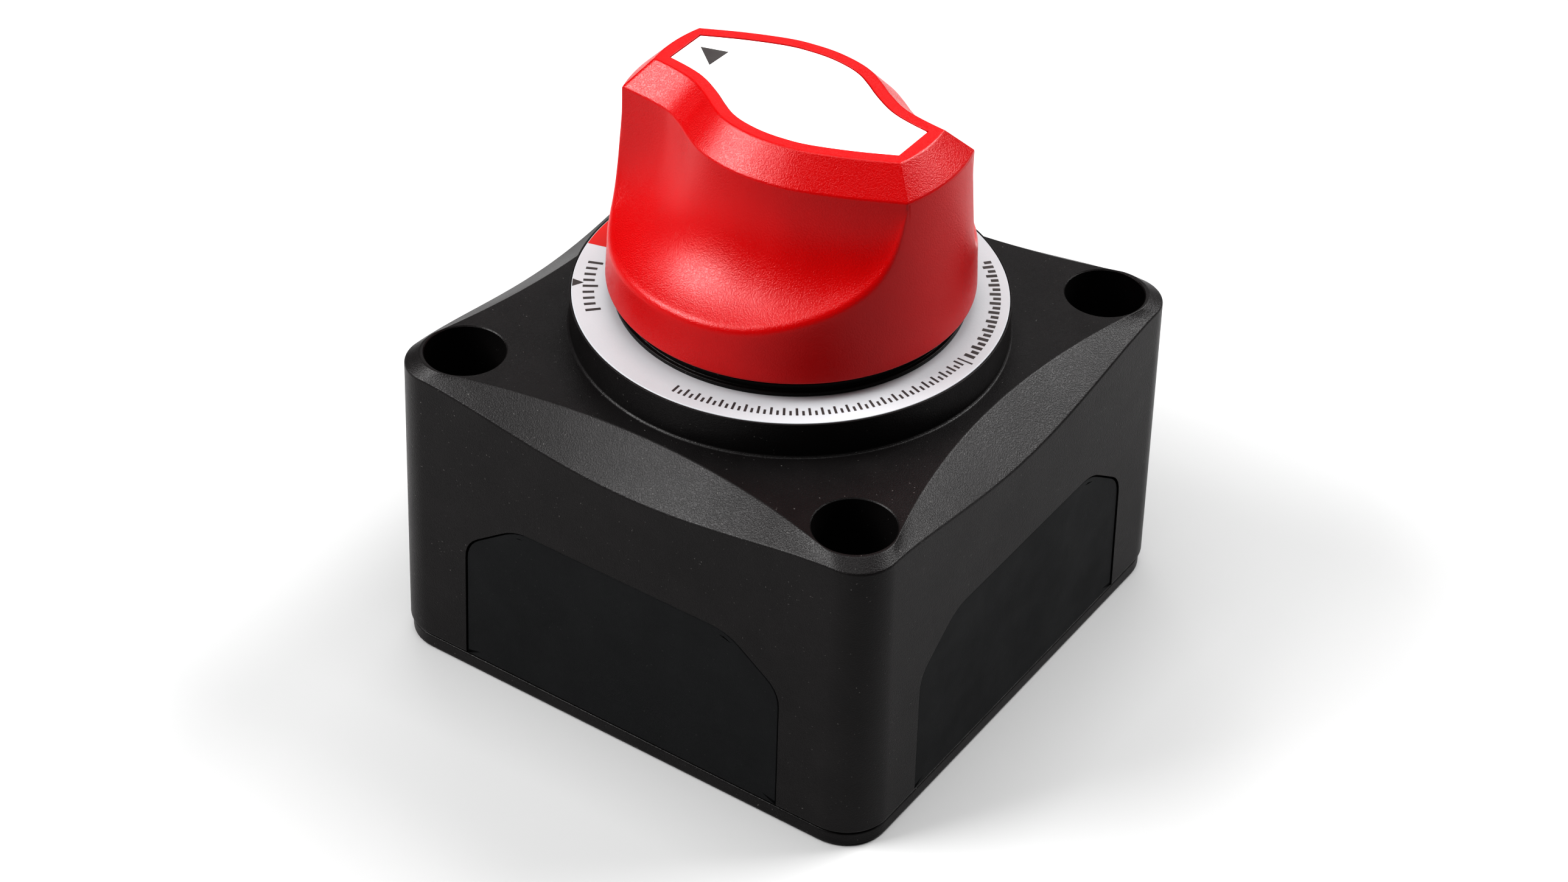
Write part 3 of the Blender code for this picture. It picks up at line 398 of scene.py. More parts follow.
@built_once
def spark_grain():
    """The fine pitted grain of a spark-eroded mould, and the pale specks of dust on it.

    Height is two octaves of noise, the coarse one pushed towards flat tops. Speck is a mask
    that is 1 in the rare spots where another noise passes a threshold.
    """
    tree, given, result = group_tree(
        "spark_grain", {"Scale": 4000.0, "Specks": 0.5}, ("Height", "Speck"),
    )
    place = tree.nodes.new("ShaderNodeTexCoord").outputs["Object"]
    scale = given.outputs["Scale"]
    coarse = spread(tree, noise(tree, place, scale, 3.0, 0.6), 0.32, 0.62)
    coarse.node.interpolation_type = "SMOOTHSTEP"
    fine = noise(tree, place, maths(tree, "MULTIPLY", scale, 2.7), 1.0)
    height = maths(tree, "ADD", coarse, maths(tree, "MULTIPLY", fine, 0.35))
    tree.links.new(height, result.inputs["Height"])
    dust = noise(tree, place, maths(tree, "MULTIPLY", scale, 0.55), 1.0)
    spots = spread(tree, dust, 0.74, 0.80)
    tree.links.new(maths(tree, "MULTIPLY", spots, given.outputs["Specks"]), result.inputs["Speck"])
    return tree


@built_once
def handling_mottle():
    """Slow patches of wear: noise a few millimetres across, mapped from Low to High."""
    tree, given, result = group_tree(
        "handling_mottle", {"Scale": 160.0, "Low": 0.4, "High": 0.5}, ("Value",),
    )
    place = tree.nodes.new("ShaderNodeTexCoord").outputs["Object"]
    patches = noise(tree, place, given.outputs["Scale"], 4.0, 0.55)
    ends = {"To Min": given.outputs["Low"], "To Max": given.outputs["High"]}
    tree.links.new(spread(tree, patches, 0.3, 0.7, **ends), result.inputs["Value"])
    return tree


@built_once
def drawn_lines():
    """Fine lines left round a turned piece: noise that changes fast along Z and slowly across."""
    tree, given, result = group_tree("drawn_lines", {"Scale": 900.0}, ("Height",))
    place = tree.nodes.new("ShaderNodeTexCoord").outputs["Object"]
    drawn = add_node(tree, "ShaderNodeMapping", Vector=place, Scale=(0.04, 0.04, 1.0)).outputs[0]
    lines = noise(tree, drawn, given.outputs["Scale"], 5.0, 0.7)
    tree.links.new(lines, result.inputs["Height"])
    return tree


# --- Materials -----------------------------------------------------------------------

# Frequencies per metre of the patches of tone and of sheen, and of the lines in metal.
TONE_SCALE = 220.0
SHEEN_SCALE = 130.0
LINE_SCALE = 2600.0
DUST_COLOUR = (0.25, 0.24, 0.23)


def place_group(tree, group, **inputs):
    """One shader group placed in a material with its own values."""
    return add_node(tree, "ShaderNodeGroup", {"node_tree": group}, **inputs)


def mixed_colour(tree, factor, first, second):
    """The colour between two, where the first may be a socket."""
    return add_node(
        tree, "ShaderNodeMix", {"data_type": "RGBA"}, Factor=factor, i6=first, i7=(*second, 1.0),
    ).outputs[2]


def finish_material(name, colour, second, roughness, grain, relief, metallic=0.0, specular=0.5,
                    specks=0.0, lines=0.0):
    """A moulded or metal finish.

    The colour drifts between two tones, the roughness between its two ends, and the grain
    (its frequency per metre) stands out by the relief, in metres. Specks are pale dust, and
    lines are the relief of a turned or drawn metal surface.
    """
    material = bpy.data.materials.get(name)
    if material:
        return material
    material = bpy.data.materials.new(name)
    material.use_nodes = True
    tree = material.node_tree
    shader = tree.nodes["Principled BSDF"]
    shader.inputs["Metallic"].default_value = metallic
    shader.inputs["Specular IOR Level"].default_value = specular
    shader.inputs["Specular Tint"].default_value = (1.0, 1.0, 1.0, 1.0)

    tone = place_group(tree, handling_mottle(), Scale=TONE_SCALE, Low=0.0, High=1.0)
    body = mixed_colour(tree, tone.outputs["Value"], (*colour, 1.0), second)
    texture = place_group(tree, spark_grain(), Scale=grain, Specks=specks)
    dusty = mixed_colour(tree, texture.outputs["Speck"], body, DUST_COLOUR)
    tree.links.new(dusty, shader.inputs["Base Color"])

    low, high = roughness
    sheen = place_group(tree, handling_mottle(), Scale=SHEEN_SCALE, Low=low, High=high)
    tree.links.new(sheen.outputs["Value"], shader.inputs["Roughness"])

    bump = add_node(
        tree, "ShaderNodeBump", Height=texture.outputs["Height"], Distance=relief, Strength=1.0,
    )
    if lines:
        drawn = place_group(tree, drawn_lines(), Scale=LINE_SCALE)
        bump = add_node(
            tree, "ShaderNodeBump", Height=drawn.outputs["Height"], Distance=lines, Strength=1.0,
            Normal=bump.outputs[0],
        )
    tree.links.new(bump.outputs[0], shader.inputs["Normal"])
    return material


def settings():
    """The user's sizes and colours."""
    return bpy.context.scene.battery_switch


def housing_black():
    tone = np.array(settings().housing_colour)
    return finish_material(
        "housing_black_grained", tone, tone * 0.8, (0.31, 0.35), 5600.0, 1.2e-5,
        specular=0.32, specks=0.5,
    )


def cover_black():
    tone = np.array(settings().cover_colour)
    return finish_material(
        "cover_black_satin", tone, tone * 0.85, (0.48, 0.58), 6000.0, 5e-6,
        specular=0.24, specks=0.12,
    )


def knob_red():
    tone = np.array(settings().knob_colour)
    return finish_material(
        "knob_red_grained", tone, tone * (0.96, 1.0, 1.0), (0.25, 0.27), 5200.0, 1.25e-5,
        specular=0.52,
    )


def insert_white():
    return finish_material(
        "insert_white_smooth", (0.88, 0.88, 0.88), (0.86, 0.86, 0.865), (0.32, 0.38), 5000.0, 1e-6,
    )


def label_white():
    tone = np.array(settings().label_colour)
    return finish_material(
        "label_white_film", tone, tone * 0.975, (0.38, 0.46), 2600.0, 2.5e-6, specks=0.02,
    )


def print_dark():
    return finish_material(
        "print_dark_ink", (0.055, 0.048, 0.048), (0.085, 0.078, 0.076), (0.5, 0.6), 7000.0, 1e-6,
    )


def print_red():
    return finish_material(
        "print_red_ink", (0.50, 0.022, 0.018), (0.46, 0.020, 0.016), (0.42, 0.5), 5000.0, 1e-6,
    )


def steel():
    return finish_material(
        "steel_turned", (0.56, 0.57, 0.58), (0.50, 0.51, 0.52), (0.36, 0.48), 5000.0, 5e-7,
        metallic=1.0, lines=2.5e-6,
    )


def tinned_brass():
    return finish_material(
        "brass_tinned", (0.66, 0.64, 0.60), (0.58, 0.56, 0.52), (0.26, 0.40), 5000.0, 1e-6,
        metallic=1.0, lines=2e-6,
    )


def copper():
    return finish_material(
        "copper_bare", (0.72, 0.32, 0.18), (0.58, 0.24, 0.13), (0.24, 0.42), 4000.0, 1e-6,
        metallic=1.0, lines=3e-6,
    )


def inner_grey():
    return finish_material(
        "inner_grey_moulding", (0.16, 0.16, 0.17), (0.14, 0.14, 0.15), (0.5, 0.6), 4500.0, 6e-6,
    )


def acetal_white():
    return finish_material(
        "acetal_white_moulding", (0.75, 0.74, 0.70), (0.70, 0.69, 0.64), (0.4, 0.5), 4500.0, 3e-6,
    )


def seal_rubber():
    return finish_material(
        "seal_rubber_matt", (0.02, 0.02, 0.02), (0.028, 0.028, 0.028), (0.75, 0.9), 3000.0, 8e-6,
        specular=0.3,
    )


INNER_FINISHES = {
    "inner_grey": inner_grey,
    "acetal_white": acetal_white,
    "seal_rubber": seal_rubber,
    "copper": copper,
    "tinned_brass": tinned_brass,
    "steel": steel,
}


# --- Housing -------------------------------------------------------------------------


def wall_inset(z):
    """How far the side walls stand in at a height: the draft grows evenly from foot to top."""
    return BODY_DRAFT * (z - FOOT_Z) / (CHAMFER_CORNER_Z - FOOT_Z)


def quarter_turns(points):
    """One side's points followed by the same points turned by 90, 180 and 270 degrees."""
    sides = [points]
    for _ in range(3):
        x, y, z = sides[-1].T
        sides.append(np.column_stack([-y, x, z]))
    return np.vstack(sides)


def chamfer_edges(side_steps=56, corner_steps=20):
    """Foot ring, and the lower and upper edge of the top chamfer, with matching points.

    Along a side, at a share s from -1 to 1: the lower edge's height is the corner height less
    dip * cos(s pi/2)^1.5, and the upper edge is a parabola in plan. Round a corner: the foot
    and the lower edge are arcs, and the upper edge is an arc round the screw hole.
    """
    flat = BODY_HALF - BODY_CORNER
    share = np.linspace(-1, 1, side_steps)
    low_z = CHAMFER_CORNER_Z - CHAMFER_DIP * np.maximum(np.cos(share * math.pi / 2), 0) ** 1.5
    bow = (CHAMFER_END_Y - CHAMFER_MIDDLE_Y) / CHAMFER_END_X ** 2
    x = CHAMFER_END_X * share
    foot = np.column_stack([flat * share, share * 0 - BODY_HALF, share * 0 + FOOT_Z])
    low = np.column_stack([flat * share, wall_inset(low_z) - BODY_HALF, low_z])
    high = np.column_stack([x, -CHAMFER_MIDDLE_Y - bow * x * x, share * 0 + TOP_Z])

    turn = np.linspace(0, 1, corner_steps + 2)[1:-1]
    angle = np.radians(-90 + 90 * turn)
    centre = np.array([flat, -flat, 0.0])
    foot_arc = centre + polar(BODY_CORNER, angle, FOOT_Z)
    low_arc = centre + polar(BODY_CORNER - BODY_DRAFT, angle, CHAMFER_CORNER_Z)
    end_x, end_y = CHAMFER_END_X - SCREW_OFFSET, SCREW_OFFSET - CHAMFER_END_Y
    first, reach = math.atan2(end_y, end_x), math.hypot(end_x, end_y)
    angle = first + (-math.pi / 2 - 2 * first) * turn
    radius = reach + (CHAMFER_LAND - reach) * np.sin(math.pi * turn)
    high_arc = np.array([SCREW_OFFSET, -SCREW_OFFSET, 0.0]) + polar(radius, angle, TOP_Z)
    pairs = ((foot, foot_arc), (low, low_arc), (high, high_arc))
    return [quarter_turns(np.vstack(pair)) for pair in pairs]


def cavity_radius(angle):
    """Distance to the cavity's wall: the nearer of the flat wall and the round corner post."""
    wall = square_radius(BODY_HALF - WALL, angle)
    away = (angle % (math.pi / 2)) - math.pi / 4
    reach = SCREW_OFFSET * math.sqrt(2)
    inside = POST_RADIUS ** 2 - (reach * np.sin(away)) ** 2
    post = np.where(inside > 0, reach * np.cos(away) - np.sqrt(np.maximum(inside, 0)), np.inf)
    return np.minimum(wall, post)


def housing_rings():
    """The housing's skin: up the walls, over the chamfer, top and plinth, and down inside."""
    foot, low, high = chamfer_edges()
    angle = np.arctan2(high[:, 1], high[:, 0])
    under = foot - unit(foot * (1, 1, 0)) * FOOT_LAND
    apron = polar(PLINTH_RADIUS + PLINTH_APRON, angle, TOP_Z)
    rings = soften([under, foot, low, high, apron], [0, 0.35, 0.22, 0.14, 0])

    # Three more rings across the chamfer keep it straight between its two softened edges.
    upper_edge = next(i for i, ring in enumerate(rings) if abs(ring[0, 2] - TOP_Z) < 0.15)
    rings[upper_edge:upper_edge] = [low + (high - low) * share for share in (0.25, 0.5, 0.75)]

    plinth = [
        (PLINTH_RADIUS + PLINTH_APRON, TOP_Z, 0), (PLINTH_RADIUS + PLINTH_FILLET, TOP_Z, 0.12),
        (PLINTH_RADIUS, TOP_Z + PLINTH_FILLET, 0.1), (PLINTH_RADIUS, LIP_TOP_Z, 0.06),
        (RING_HIGH[0] + 0.05, LIP_TOP_Z, 0.04), (RING_HIGH[0] + 0.05, PLINTH_TOP_Z, 0),
        (BORE_RADIUS, PLINTH_TOP_Z, 0.15),
        (BORE_RADIUS, CHAMBER_TOP_Z, 0), (CHAMBER_RADIUS, CHAMBER_TOP_Z, 0),
        (CHAMBER_RADIUS, CEILING_Z, 0),
    ]
    inner = profile_rings(plinth, angle)
    cavity = cavity_radius(angle)
    inner += [polar(cavity, angle, CEILING_Z), polar(cavity, angle, FOOT_Z)]
    return rings + inner[1:]


def bore_screw_holes(piece, profile, count):
    """Cut a turned (radius, z) profile out of a piece at each corner."""
    table = [(0.01, profile[0][1]), *profile, (0.01, profile[-1][1])]
    for place in SCREW_PLACES:
        rings = [ring + (*place, 0) for ring in turned_rings([(*row, 0) for row in table], count)]
        carve(piece, new_piece("screw_hole_cutter", rings, housing_black()))


def cover_outline(inset, bottom):
    """Outline of a cable-entry cover in its wall's plane, x across and z up."""
    half, top = COVER_HALF - inset, COVER_TOP_Z - inset
    shoulder, top_half = (half - COVER_LEAN, top - COVER_SHOULDER_DROP), COVER_TOP_HALF - inset
    right = [(half, bottom, 0.02), (*shoulder, COVER_CORNER), (top_half, top, COVER_CORNER)]
    return soft_outline(right + [(-x, z, reach) for x, z, reach in reversed(right)])


def standing(outline, y):
    """An (x, z) outline as points in the front wall's plane, at one y or at an array of them."""
    return np.column_stack([outline[:, 0], np.broadcast_to(y, len(outline)), outline[:, 1]])


def turned_side(points, quarter):
    """Points of the front side carried to another side, by quarter turns about Z."""
    angle = math.pi / 2 * quarter
    turn = np.array([[math.cos(angle), -math.sin(angle)], [math.sin(angle), math.cos(angle)]])
    moved = points.copy()
    moved[:, :2] = points[:, :2] @ turn.T
    return moved


class SWITCH_OT_housing(bpy.types.Operator):
    """Build the housing with its chamfered top, plinth, screw holes and cable entries"""

    bl_idname = "battery_switch.housing"
    bl_label = "Housing"

    def execute(self, context):
        housing = new_piece("housing_shell", housing_rings(), housing_black(), closed_tube=True)
        for quarter in range(4):
            outline = cover_outline(0.0, FOOT_Z - 1)
            rings = [standing(outline, y) for y in (-BODY_HALF - 1, WALL + 1 - BODY_HALF)]
            rings = [turned_side(ring, quarter) for ring in rings]
            carve(housing, new_piece("cable_entry_cutter", rings, housing_black()))
        lead = 0.13
        bore_screw_holes(housing, [
            (SCREW_RADIUS, FOOT_Z - 1), (SCREW_RADIUS, HEAD_SEAT_Z), (HEAD_RADIUS, HEAD_SEAT_Z),
            (HEAD_RADIUS, TOP_Z - lead), (HEAD_RADIUS + 2 * lead, TOP_Z + lead),
            (HEAD_RADIUS + 2 * lead, TOP_Z + 2),
        ], 96)
        belongs_to(housing, "switch_body", "housing_black", "housing")
        return {"FINISHED"}


# --- Covers --------------------------------------------------------------------------


def cover_rings():
    """A side cover's skin, from the middle of its face to the middle of its back.

    The face leans with the drafted wall and lies just under it; its edge is rounded. Behind
    the wall the outline turns into the wider flange.
    """
    outline = cover_outline(COVER_GAP, FOOT_Z)
    face_y = COVER_RECESS - BODY_HALF
    wall_back = WALL - BODY_HALF + 0.3
    flange = np.clip(outline, (-COVER_FLANGE_HALF, FOOT_Z), (COVER_FLANGE_HALF, COVER_TOP_Z))
    flange[:, 1] += np.where(outline[:, 1] > COVER_TOP_Z - 6, COVER_FLANGE_TOP_Z - COVER_TOP_Z, 0)
    faces = [(outline * (1 - inset / COVER_HALF, 1), inset) for inset in COVER_FACE_INSETS]
    faces.append((offset_outline(outline, -0.6), 0.6))
    rings = []
    for inner, inset in faces:
        inner[:, 1] = np.clip(inner[:, 1], FOOT_Z + inset / 2, COVER_TOP_Z - inset / 2)
        rings.append(standing(inner, face_y + wall_inset(inner[:, 1])))
    rings += [
        standing(outline, face_y + wall_inset(outline[:, 1])), standing(outline, wall_back),
        standing(flange, wall_back), standing(flange, wall_back + COVER_FLANGE_THICKNESS),
    ]
    return soften(rings, [0, 0, 0, 0, 0.14, 0, 0, 0])


class SWITCH_OT_side_covers(bpy.types.Operator):
    """Build the four covers that fill the cable entries"""

    bl_idname = "battery_switch.side_covers"
    bl_label = "Side covers"

    def execute(self, context):
        for quarter, side in enumerate(("front", "right", "rear", "left")):
            rings = [turned_side(ring, quarter) for ring in cover_rings()]
            cover = new_piece(f"side_panel_{side}", rings, cover_black())
            belongs_to(cover, "switch_body", "cover_black", f"side_cover_{side}")
        return {"FINISHED"}


def rounded_square(half, corner, z, steps=14):
    """A square ring with round corners."""
    angle = np.radians(np.linspace(-90, 0, steps))
    centre = np.array([half - corner, corner - half, 0.0])
    return quarter_turns(centre + polar(corner, angle, z))


class SWITCH_OT_back_cover(bpy.types.Operator):
    """Build the plate that closes the back, with its screw holes"""

    bl_idname = "battery_switch.back_cover"
    bl_label = "Back cover"

    def execute(self, context):
        half, top = BACK_HIGH[0], BACK_THICKNESS
        corners = [(half - 2, 0), (half, 0), (half, top), (half - 2, top)]
        rings = soften(
            [rounded_square(edge, BODY_CORNER - (half - edge), z) for edge, z in corners],
            [0, 0.5, 0.25, 0],
        )
        plate = new_piece("back_plate", rings, housing_black())
        bore_screw_holes(plate, [(SCREW_RADIUS, -1), (SCREW_RADIUS, BACK_THICKNESS + 1)], 64)
        belongs_to(plate, "switch_body", "housing_black", "back_cover")
        return {"FINISHED"}


# --- Label ring and bezel ------------------------------------------------------------


class SWITCH_OT_label_ring(bpy.types.Operator):
    """Build the white ring that lies on the plinth"""

    bl_idname = "battery_switch.label_ring"
    bl_label = "Label ring"

    def execute(self, context):
        inner, outer, top = RING_INNER, RING_HIGH[0], RING_HIGH[2]
        low = PLINTH_TOP_Z + RING_GAP
        profile = [
            (inner, low, 0), (inner, top, 0), (outer, top, 0.12), (outer, low, 0),
            (inner, low, 0),
        ]
        ring = new_piece("label_disc", turned_rings(profile, 256), label_white(), closed_tube=True)
        belongs_to(ring, "switch_body", "ring_white", "label_ring")
        return {"FINISHED"}


def sector_rings(first, last, inner, outer, low):
    """A curved plate of print between two bearings in degrees and two radii, as four long edges."""
    count = max(2, int(abs(last - first) * 1.5))
    angles = np.radians(np.linspace(first, last, count))
    high = low + PRINT_THICKNESS
    corners = ((inner, low), (inner, high), (outer, high), (outer, low))
    return np.stack([polar(radius, angles, z) for radius, z in corners], axis=1)


def plates_mesh(name, plates, material):
    """Join several closed strips, each an array (steps, 4, 3), into one piece."""
    points, faces, start = [], [], 0
    for plate in plates:
        steps = len(plate)
        index = np.arange(steps - 1)[:, None] * 4 + start
        side = np.arange(4)[None, :]
        after = (side + 1) % 4
        quads = np.stack([index + side, index + after, index + 4 + after, index + 4 + side], -1)
        faces += quads.reshape(-1, 4).tolist()
        end = start + (steps - 1) * 4
        faces += [[start + 3, start + 2, start + 1, start], [end, end + 1, end + 2, end + 3]]
        points.append(plate.reshape(-1, 3))
        start += steps * 4
    mesh = bpy.data.meshes.new(name)
    mesh.from_pydata((np.vstack(points) * MM).tolist(), [], faces)
    return link_piece(name, mesh, material)


def flat_plate(name, outline, material):
    """A closed plate, as thick as the print, from a level outline (count, 3) and upwards."""
    return new_piece(name, [outline, outline + (0, 0, PRINT_THICKNESS)], material)


class SWITCH_OT_dial_marks(bpy.types.Operator):
    """Print the ring: a red off sector, a scale of ticks, and the remove mark"""

    bl_idname = "battery_switch.dial_marks"
    bl_label = "Dial marks"

    def execute(self, context):
        top = RING_HIGH[2] - PRINT_SINK
        red = plates_mesh("off_sector", [sector_rings(*RED_SECTOR, top)], print_red())
        belongs_to(red, "switch_body", "ring_white")

        marks = []
        for angles, width, every, long_inner, short_inner, outer in SCALE_TICKS:
            for index, angle in enumerate(angles):
                inner = long_inner if index % every == 0 else short_inner
                half = math.degrees(width / (inner + outer))
                marks.append(sector_rings(angle - half, angle + half, inner, outer, top))
        ticks = plates_mesh("scale_ticks", marks, print_dark())
        belongs_to(ticks, "switch_body", "ring_white")

        corners = polar(POINTER_RADII, np.radians(POINTER_BEARINGS), top)
        pointer = flat_plate("remove_mark", corners, print_dark())
        belongs_to(pointer, "switch_body", "ring_white")
        return {"FINISHED"}


class SWITCH_OT_bezel(bpy.types.Operator):
    """Build the stepped black collar between the ring and the knob"""

    bl_idname = "battery_switch.bezel"
    bl_label = "Bezel"

    def execute(self, context):
        outer, spigot = BEZEL_HIGH[0], 18.0
        foot, top = RING_HIGH[2] + 0.02, BEZEL_HIGH[2]
        low = BEZEL_LOW[2]
        profile = [
            (BORE_RADIUS, low, 0), (spigot + 0.4, low, 0), (spigot + 0.4, foot, 0),
            (outer, foot, 0.06), (outer, foot + 0.5, 0.16), (outer - 0.42, foot + 0.5, 0.08),
            (outer - 0.5, foot + 0.38, 0.06), (outer - 0.62, foot + 0.5, 0.08),
            (outer - 0.62, foot + 1.2, 0.2), (spigot, foot + 1.25, 0.2), (spigot, top, 0.25),
            (BORE_RADIUS + 2.6, top, 0.25), (BORE_RADIUS + 2.4, top - 0.7, 0.2),
            (BORE_RADIUS, top - 0.7, 0.2), (BORE_RADIUS, low, 0),
        ]
        collar = new_piece(
            "bezel_collar", turned_rings(profile, 256), housing_black(), closed_tube=True,
        )
        belongs_to(collar, "switch_body", "housing_black", "bezel")
        return {"FINISHED"}


# --- Knob ----------------------------------------------------------------------------

# Near edge of the grip's flat top, from the arrow end to the other end.
GRIP_EDGE = np.array([
    (-22.5, -3.2), (-17.3, -3.6), (-13.5, -4.1), (-11.0, -4.8), (-8.3, -6.3), (-6.2, -7.75),
    (-4.2, -8.95), (-2.0, -9.7), (1.0, -10.1), (4.0, -9.95), (7.2, -9.3), (12.0, -7.4),
    (17.0, -4.9), (22.5, -2.0),
])
# Height of the finger scoop's rim by the angle round the knob, in degrees.
SCOOP_RIM = np.array([
    (-164.0, 70.3), (-162.6, 66.0), (-161.0, 61.0), (-158.5, 57.7), (-154.0, 55.8),
    (-146.0, 54.9), (-122.0, 54.5), (-98.0, 54.7), (-72.0, 55.3), (-49.0, 57.5), (-34.0, 60.0),
    (-27.0, 62.3), (-23.0, 65.0), (-20.5, 68.0), (-19.0, 70.3),
])


def smooth_curve(knots, steps):
    """Catmull-Rom curve through knots, with end knots added straight on.

    Between b and c: b + t/2 ((c-a) + t ((2a-5b+4c-d) + t (3b-a-3c+d))).
    """
    knots = np.vstack([2 * knots[0] - knots[1], knots, 2 * knots[-1] - knots[-2]])
    a, b, c, d = (knots[start:len(knots) - 3 + start, None] for start in range(4))
    t = np.linspace(0, 1, steps, endpoint=False)[None, :, None]
    curve = b + t / 2 * ((c - a) + t * ((2 * a - 5 * b + 4 * c - d) + t * (3 * b - a - 3 * c + d)))
    return np.vstack([curve.reshape(-1, knots.shape[1]), knots[-2:-1]])


def outward(line):
    """The outward normal at each point of a line in plan."""
    along = unit(np.gradient(line, axis=0))
    return np.column_stack([along[:, 1], -along[:, 0]])


def grip_edge(offset):
    """Near edge of the grip moved outwards by a distance along its own normal."""
    line = smooth_curve(GRIP_EDGE, 40)
    return line + offset * outward(line)


def straight_end(bearing, half_length=INSERT_HALF_LENGTH):
    """Distance at each bearing to the straight ends of the recess for the insert."""
    return half_length / np.maximum(np.abs(np.cos(bearing)), 1e-6)


def round_end(radius):
    """The same distance at every bearing, for ends that are arcs round Z."""
    return lambda bearing: np.full_like(bearing, radius)


def grip_radius(angles, offset):
    """Distance at each angle to the grip's near edge and to its far edge, half a turn away."""
    near = grip_edge(offset)
    outline = np.vstack([near, -near])
    bearing = np.arctan2(outline[:, 1], outline[:, 0])
    order = np.argsort(bearing)
    radius = np.hypot(outline[:, 0], outline[:, 1])
    return np.interp(angles, bearing[order], radius[order], period=2 * math.pi)


def corner_bearings(offset, limit):
    """Bearings of the near edge's two corners, where it meets the limit(bearing) of the ends."""
    near = grip_edge(offset)
    bearing = np.arctan2(near[:, 1], near[:, 0])
    gap = np.hypot(near[:, 0], near[:, 1]) - limit(bearing)
    middle = len(near) // 2
    left = np.interp(0, gap[:middle][::-1], bearing[:middle][::-1])
    right = np.interp(0, gap[middle:], bearing[middle:])
    return left, right


def knob_bearings(count=760):
    """Bearings of the knob's columns at three levels: recess, top edge and shoulder.

    The columns are spread evenly between the shoulder's four corners. At the other levels the
    same columns are stretched so that they meet the corners there, which keeps the creases
    between the side and end chamfers sharp.
    """
    levels = []
    for offset, limit in (
        (-INSERT_MARGIN, straight_end), (0.0, round_end(GRIP_RADIUS)),
        (CHAMFER_WIDTH, round_end(SHOULDER_RADIUS)),
    ):
        left, right = corner_bearings(offset, limit)
        levels.append(np.array([left, right, left + math.pi, right + math.pi, left + 2 * math.pi]))
    base = levels[-1]
    parts = np.round(np.diff(base) / (2 * math.pi) * count).astype(int)
    columns = np.concatenate([
        np.linspace(start, stop, steps, endpoint=False)
        for start, stop, steps in zip(base, base[1:], parts)
    ])
    return [np.interp(columns, base, level) for level in levels]


def skirt_radius(z):
    """Radius of the knob's outside, tapering evenly from the base to the shoulder."""
    share = (z - KNOB_LOW[2]) / (SHOULDER_Z - KNOB_LOW[2])
    return KNOB_BASE_RADIUS + (SHOULDER_RADIUS - KNOB_BASE_RADIUS) * share


def scoop_rim(bearing):
    """Height of the scoop's rim at each bearing, the same on both sides of the grip."""
    smooth = smooth_curve(SCOOP_RIM, 12)
    half_turn = (np.degrees(bearing) % 180.0) - 180.0
    return np.interp(half_turn, smooth[:, 0], smooth[:, 1], SHOULDER_Z, SHOULDER_Z)


def flare_bearing(bearing, share=0.45, fade=math.radians(18.0)):
    """Bearing at the scoop's rim of the column that leaves the shoulder at a bearing.

    The wall of the grip flares along its own normal rather than straight out: a line from the
    shoulder along the normal n meets the rim circle at P + n t, with
    t = sqrt((P.n)^2 - P.P + R^2) - P.n. The column takes a share of that turn, and none at the
    two corners.
    """
    near = grip_edge(CHAMFER_WIDTH)
    normal = outward(near)
    lean = (near * normal).sum(axis=1)
    room = lean ** 2 - (near ** 2).sum(axis=1) + (SHOULDER_RADIUS + 0.65) ** 2
    target = near + normal * (np.sqrt(np.maximum(room, 0)) - lean)[:, None]
    start = np.arctan2(near[:, 1], near[:, 0])
    turn = np.arctan2(target[:, 1], target[:, 0]) - start
    left, right = corner_bearings(CHAMFER_WIDTH, round_end(SHOULDER_RADIUS))
    near_corner = np.clip(np.minimum(start - left, right - start) / fade, 0, 1)
    turn = turn * share * near_corner ** 2 * (3 - 2 * near_corner)
    return bearing + np.interp((bearing % math.pi) - math.pi, start, turn)


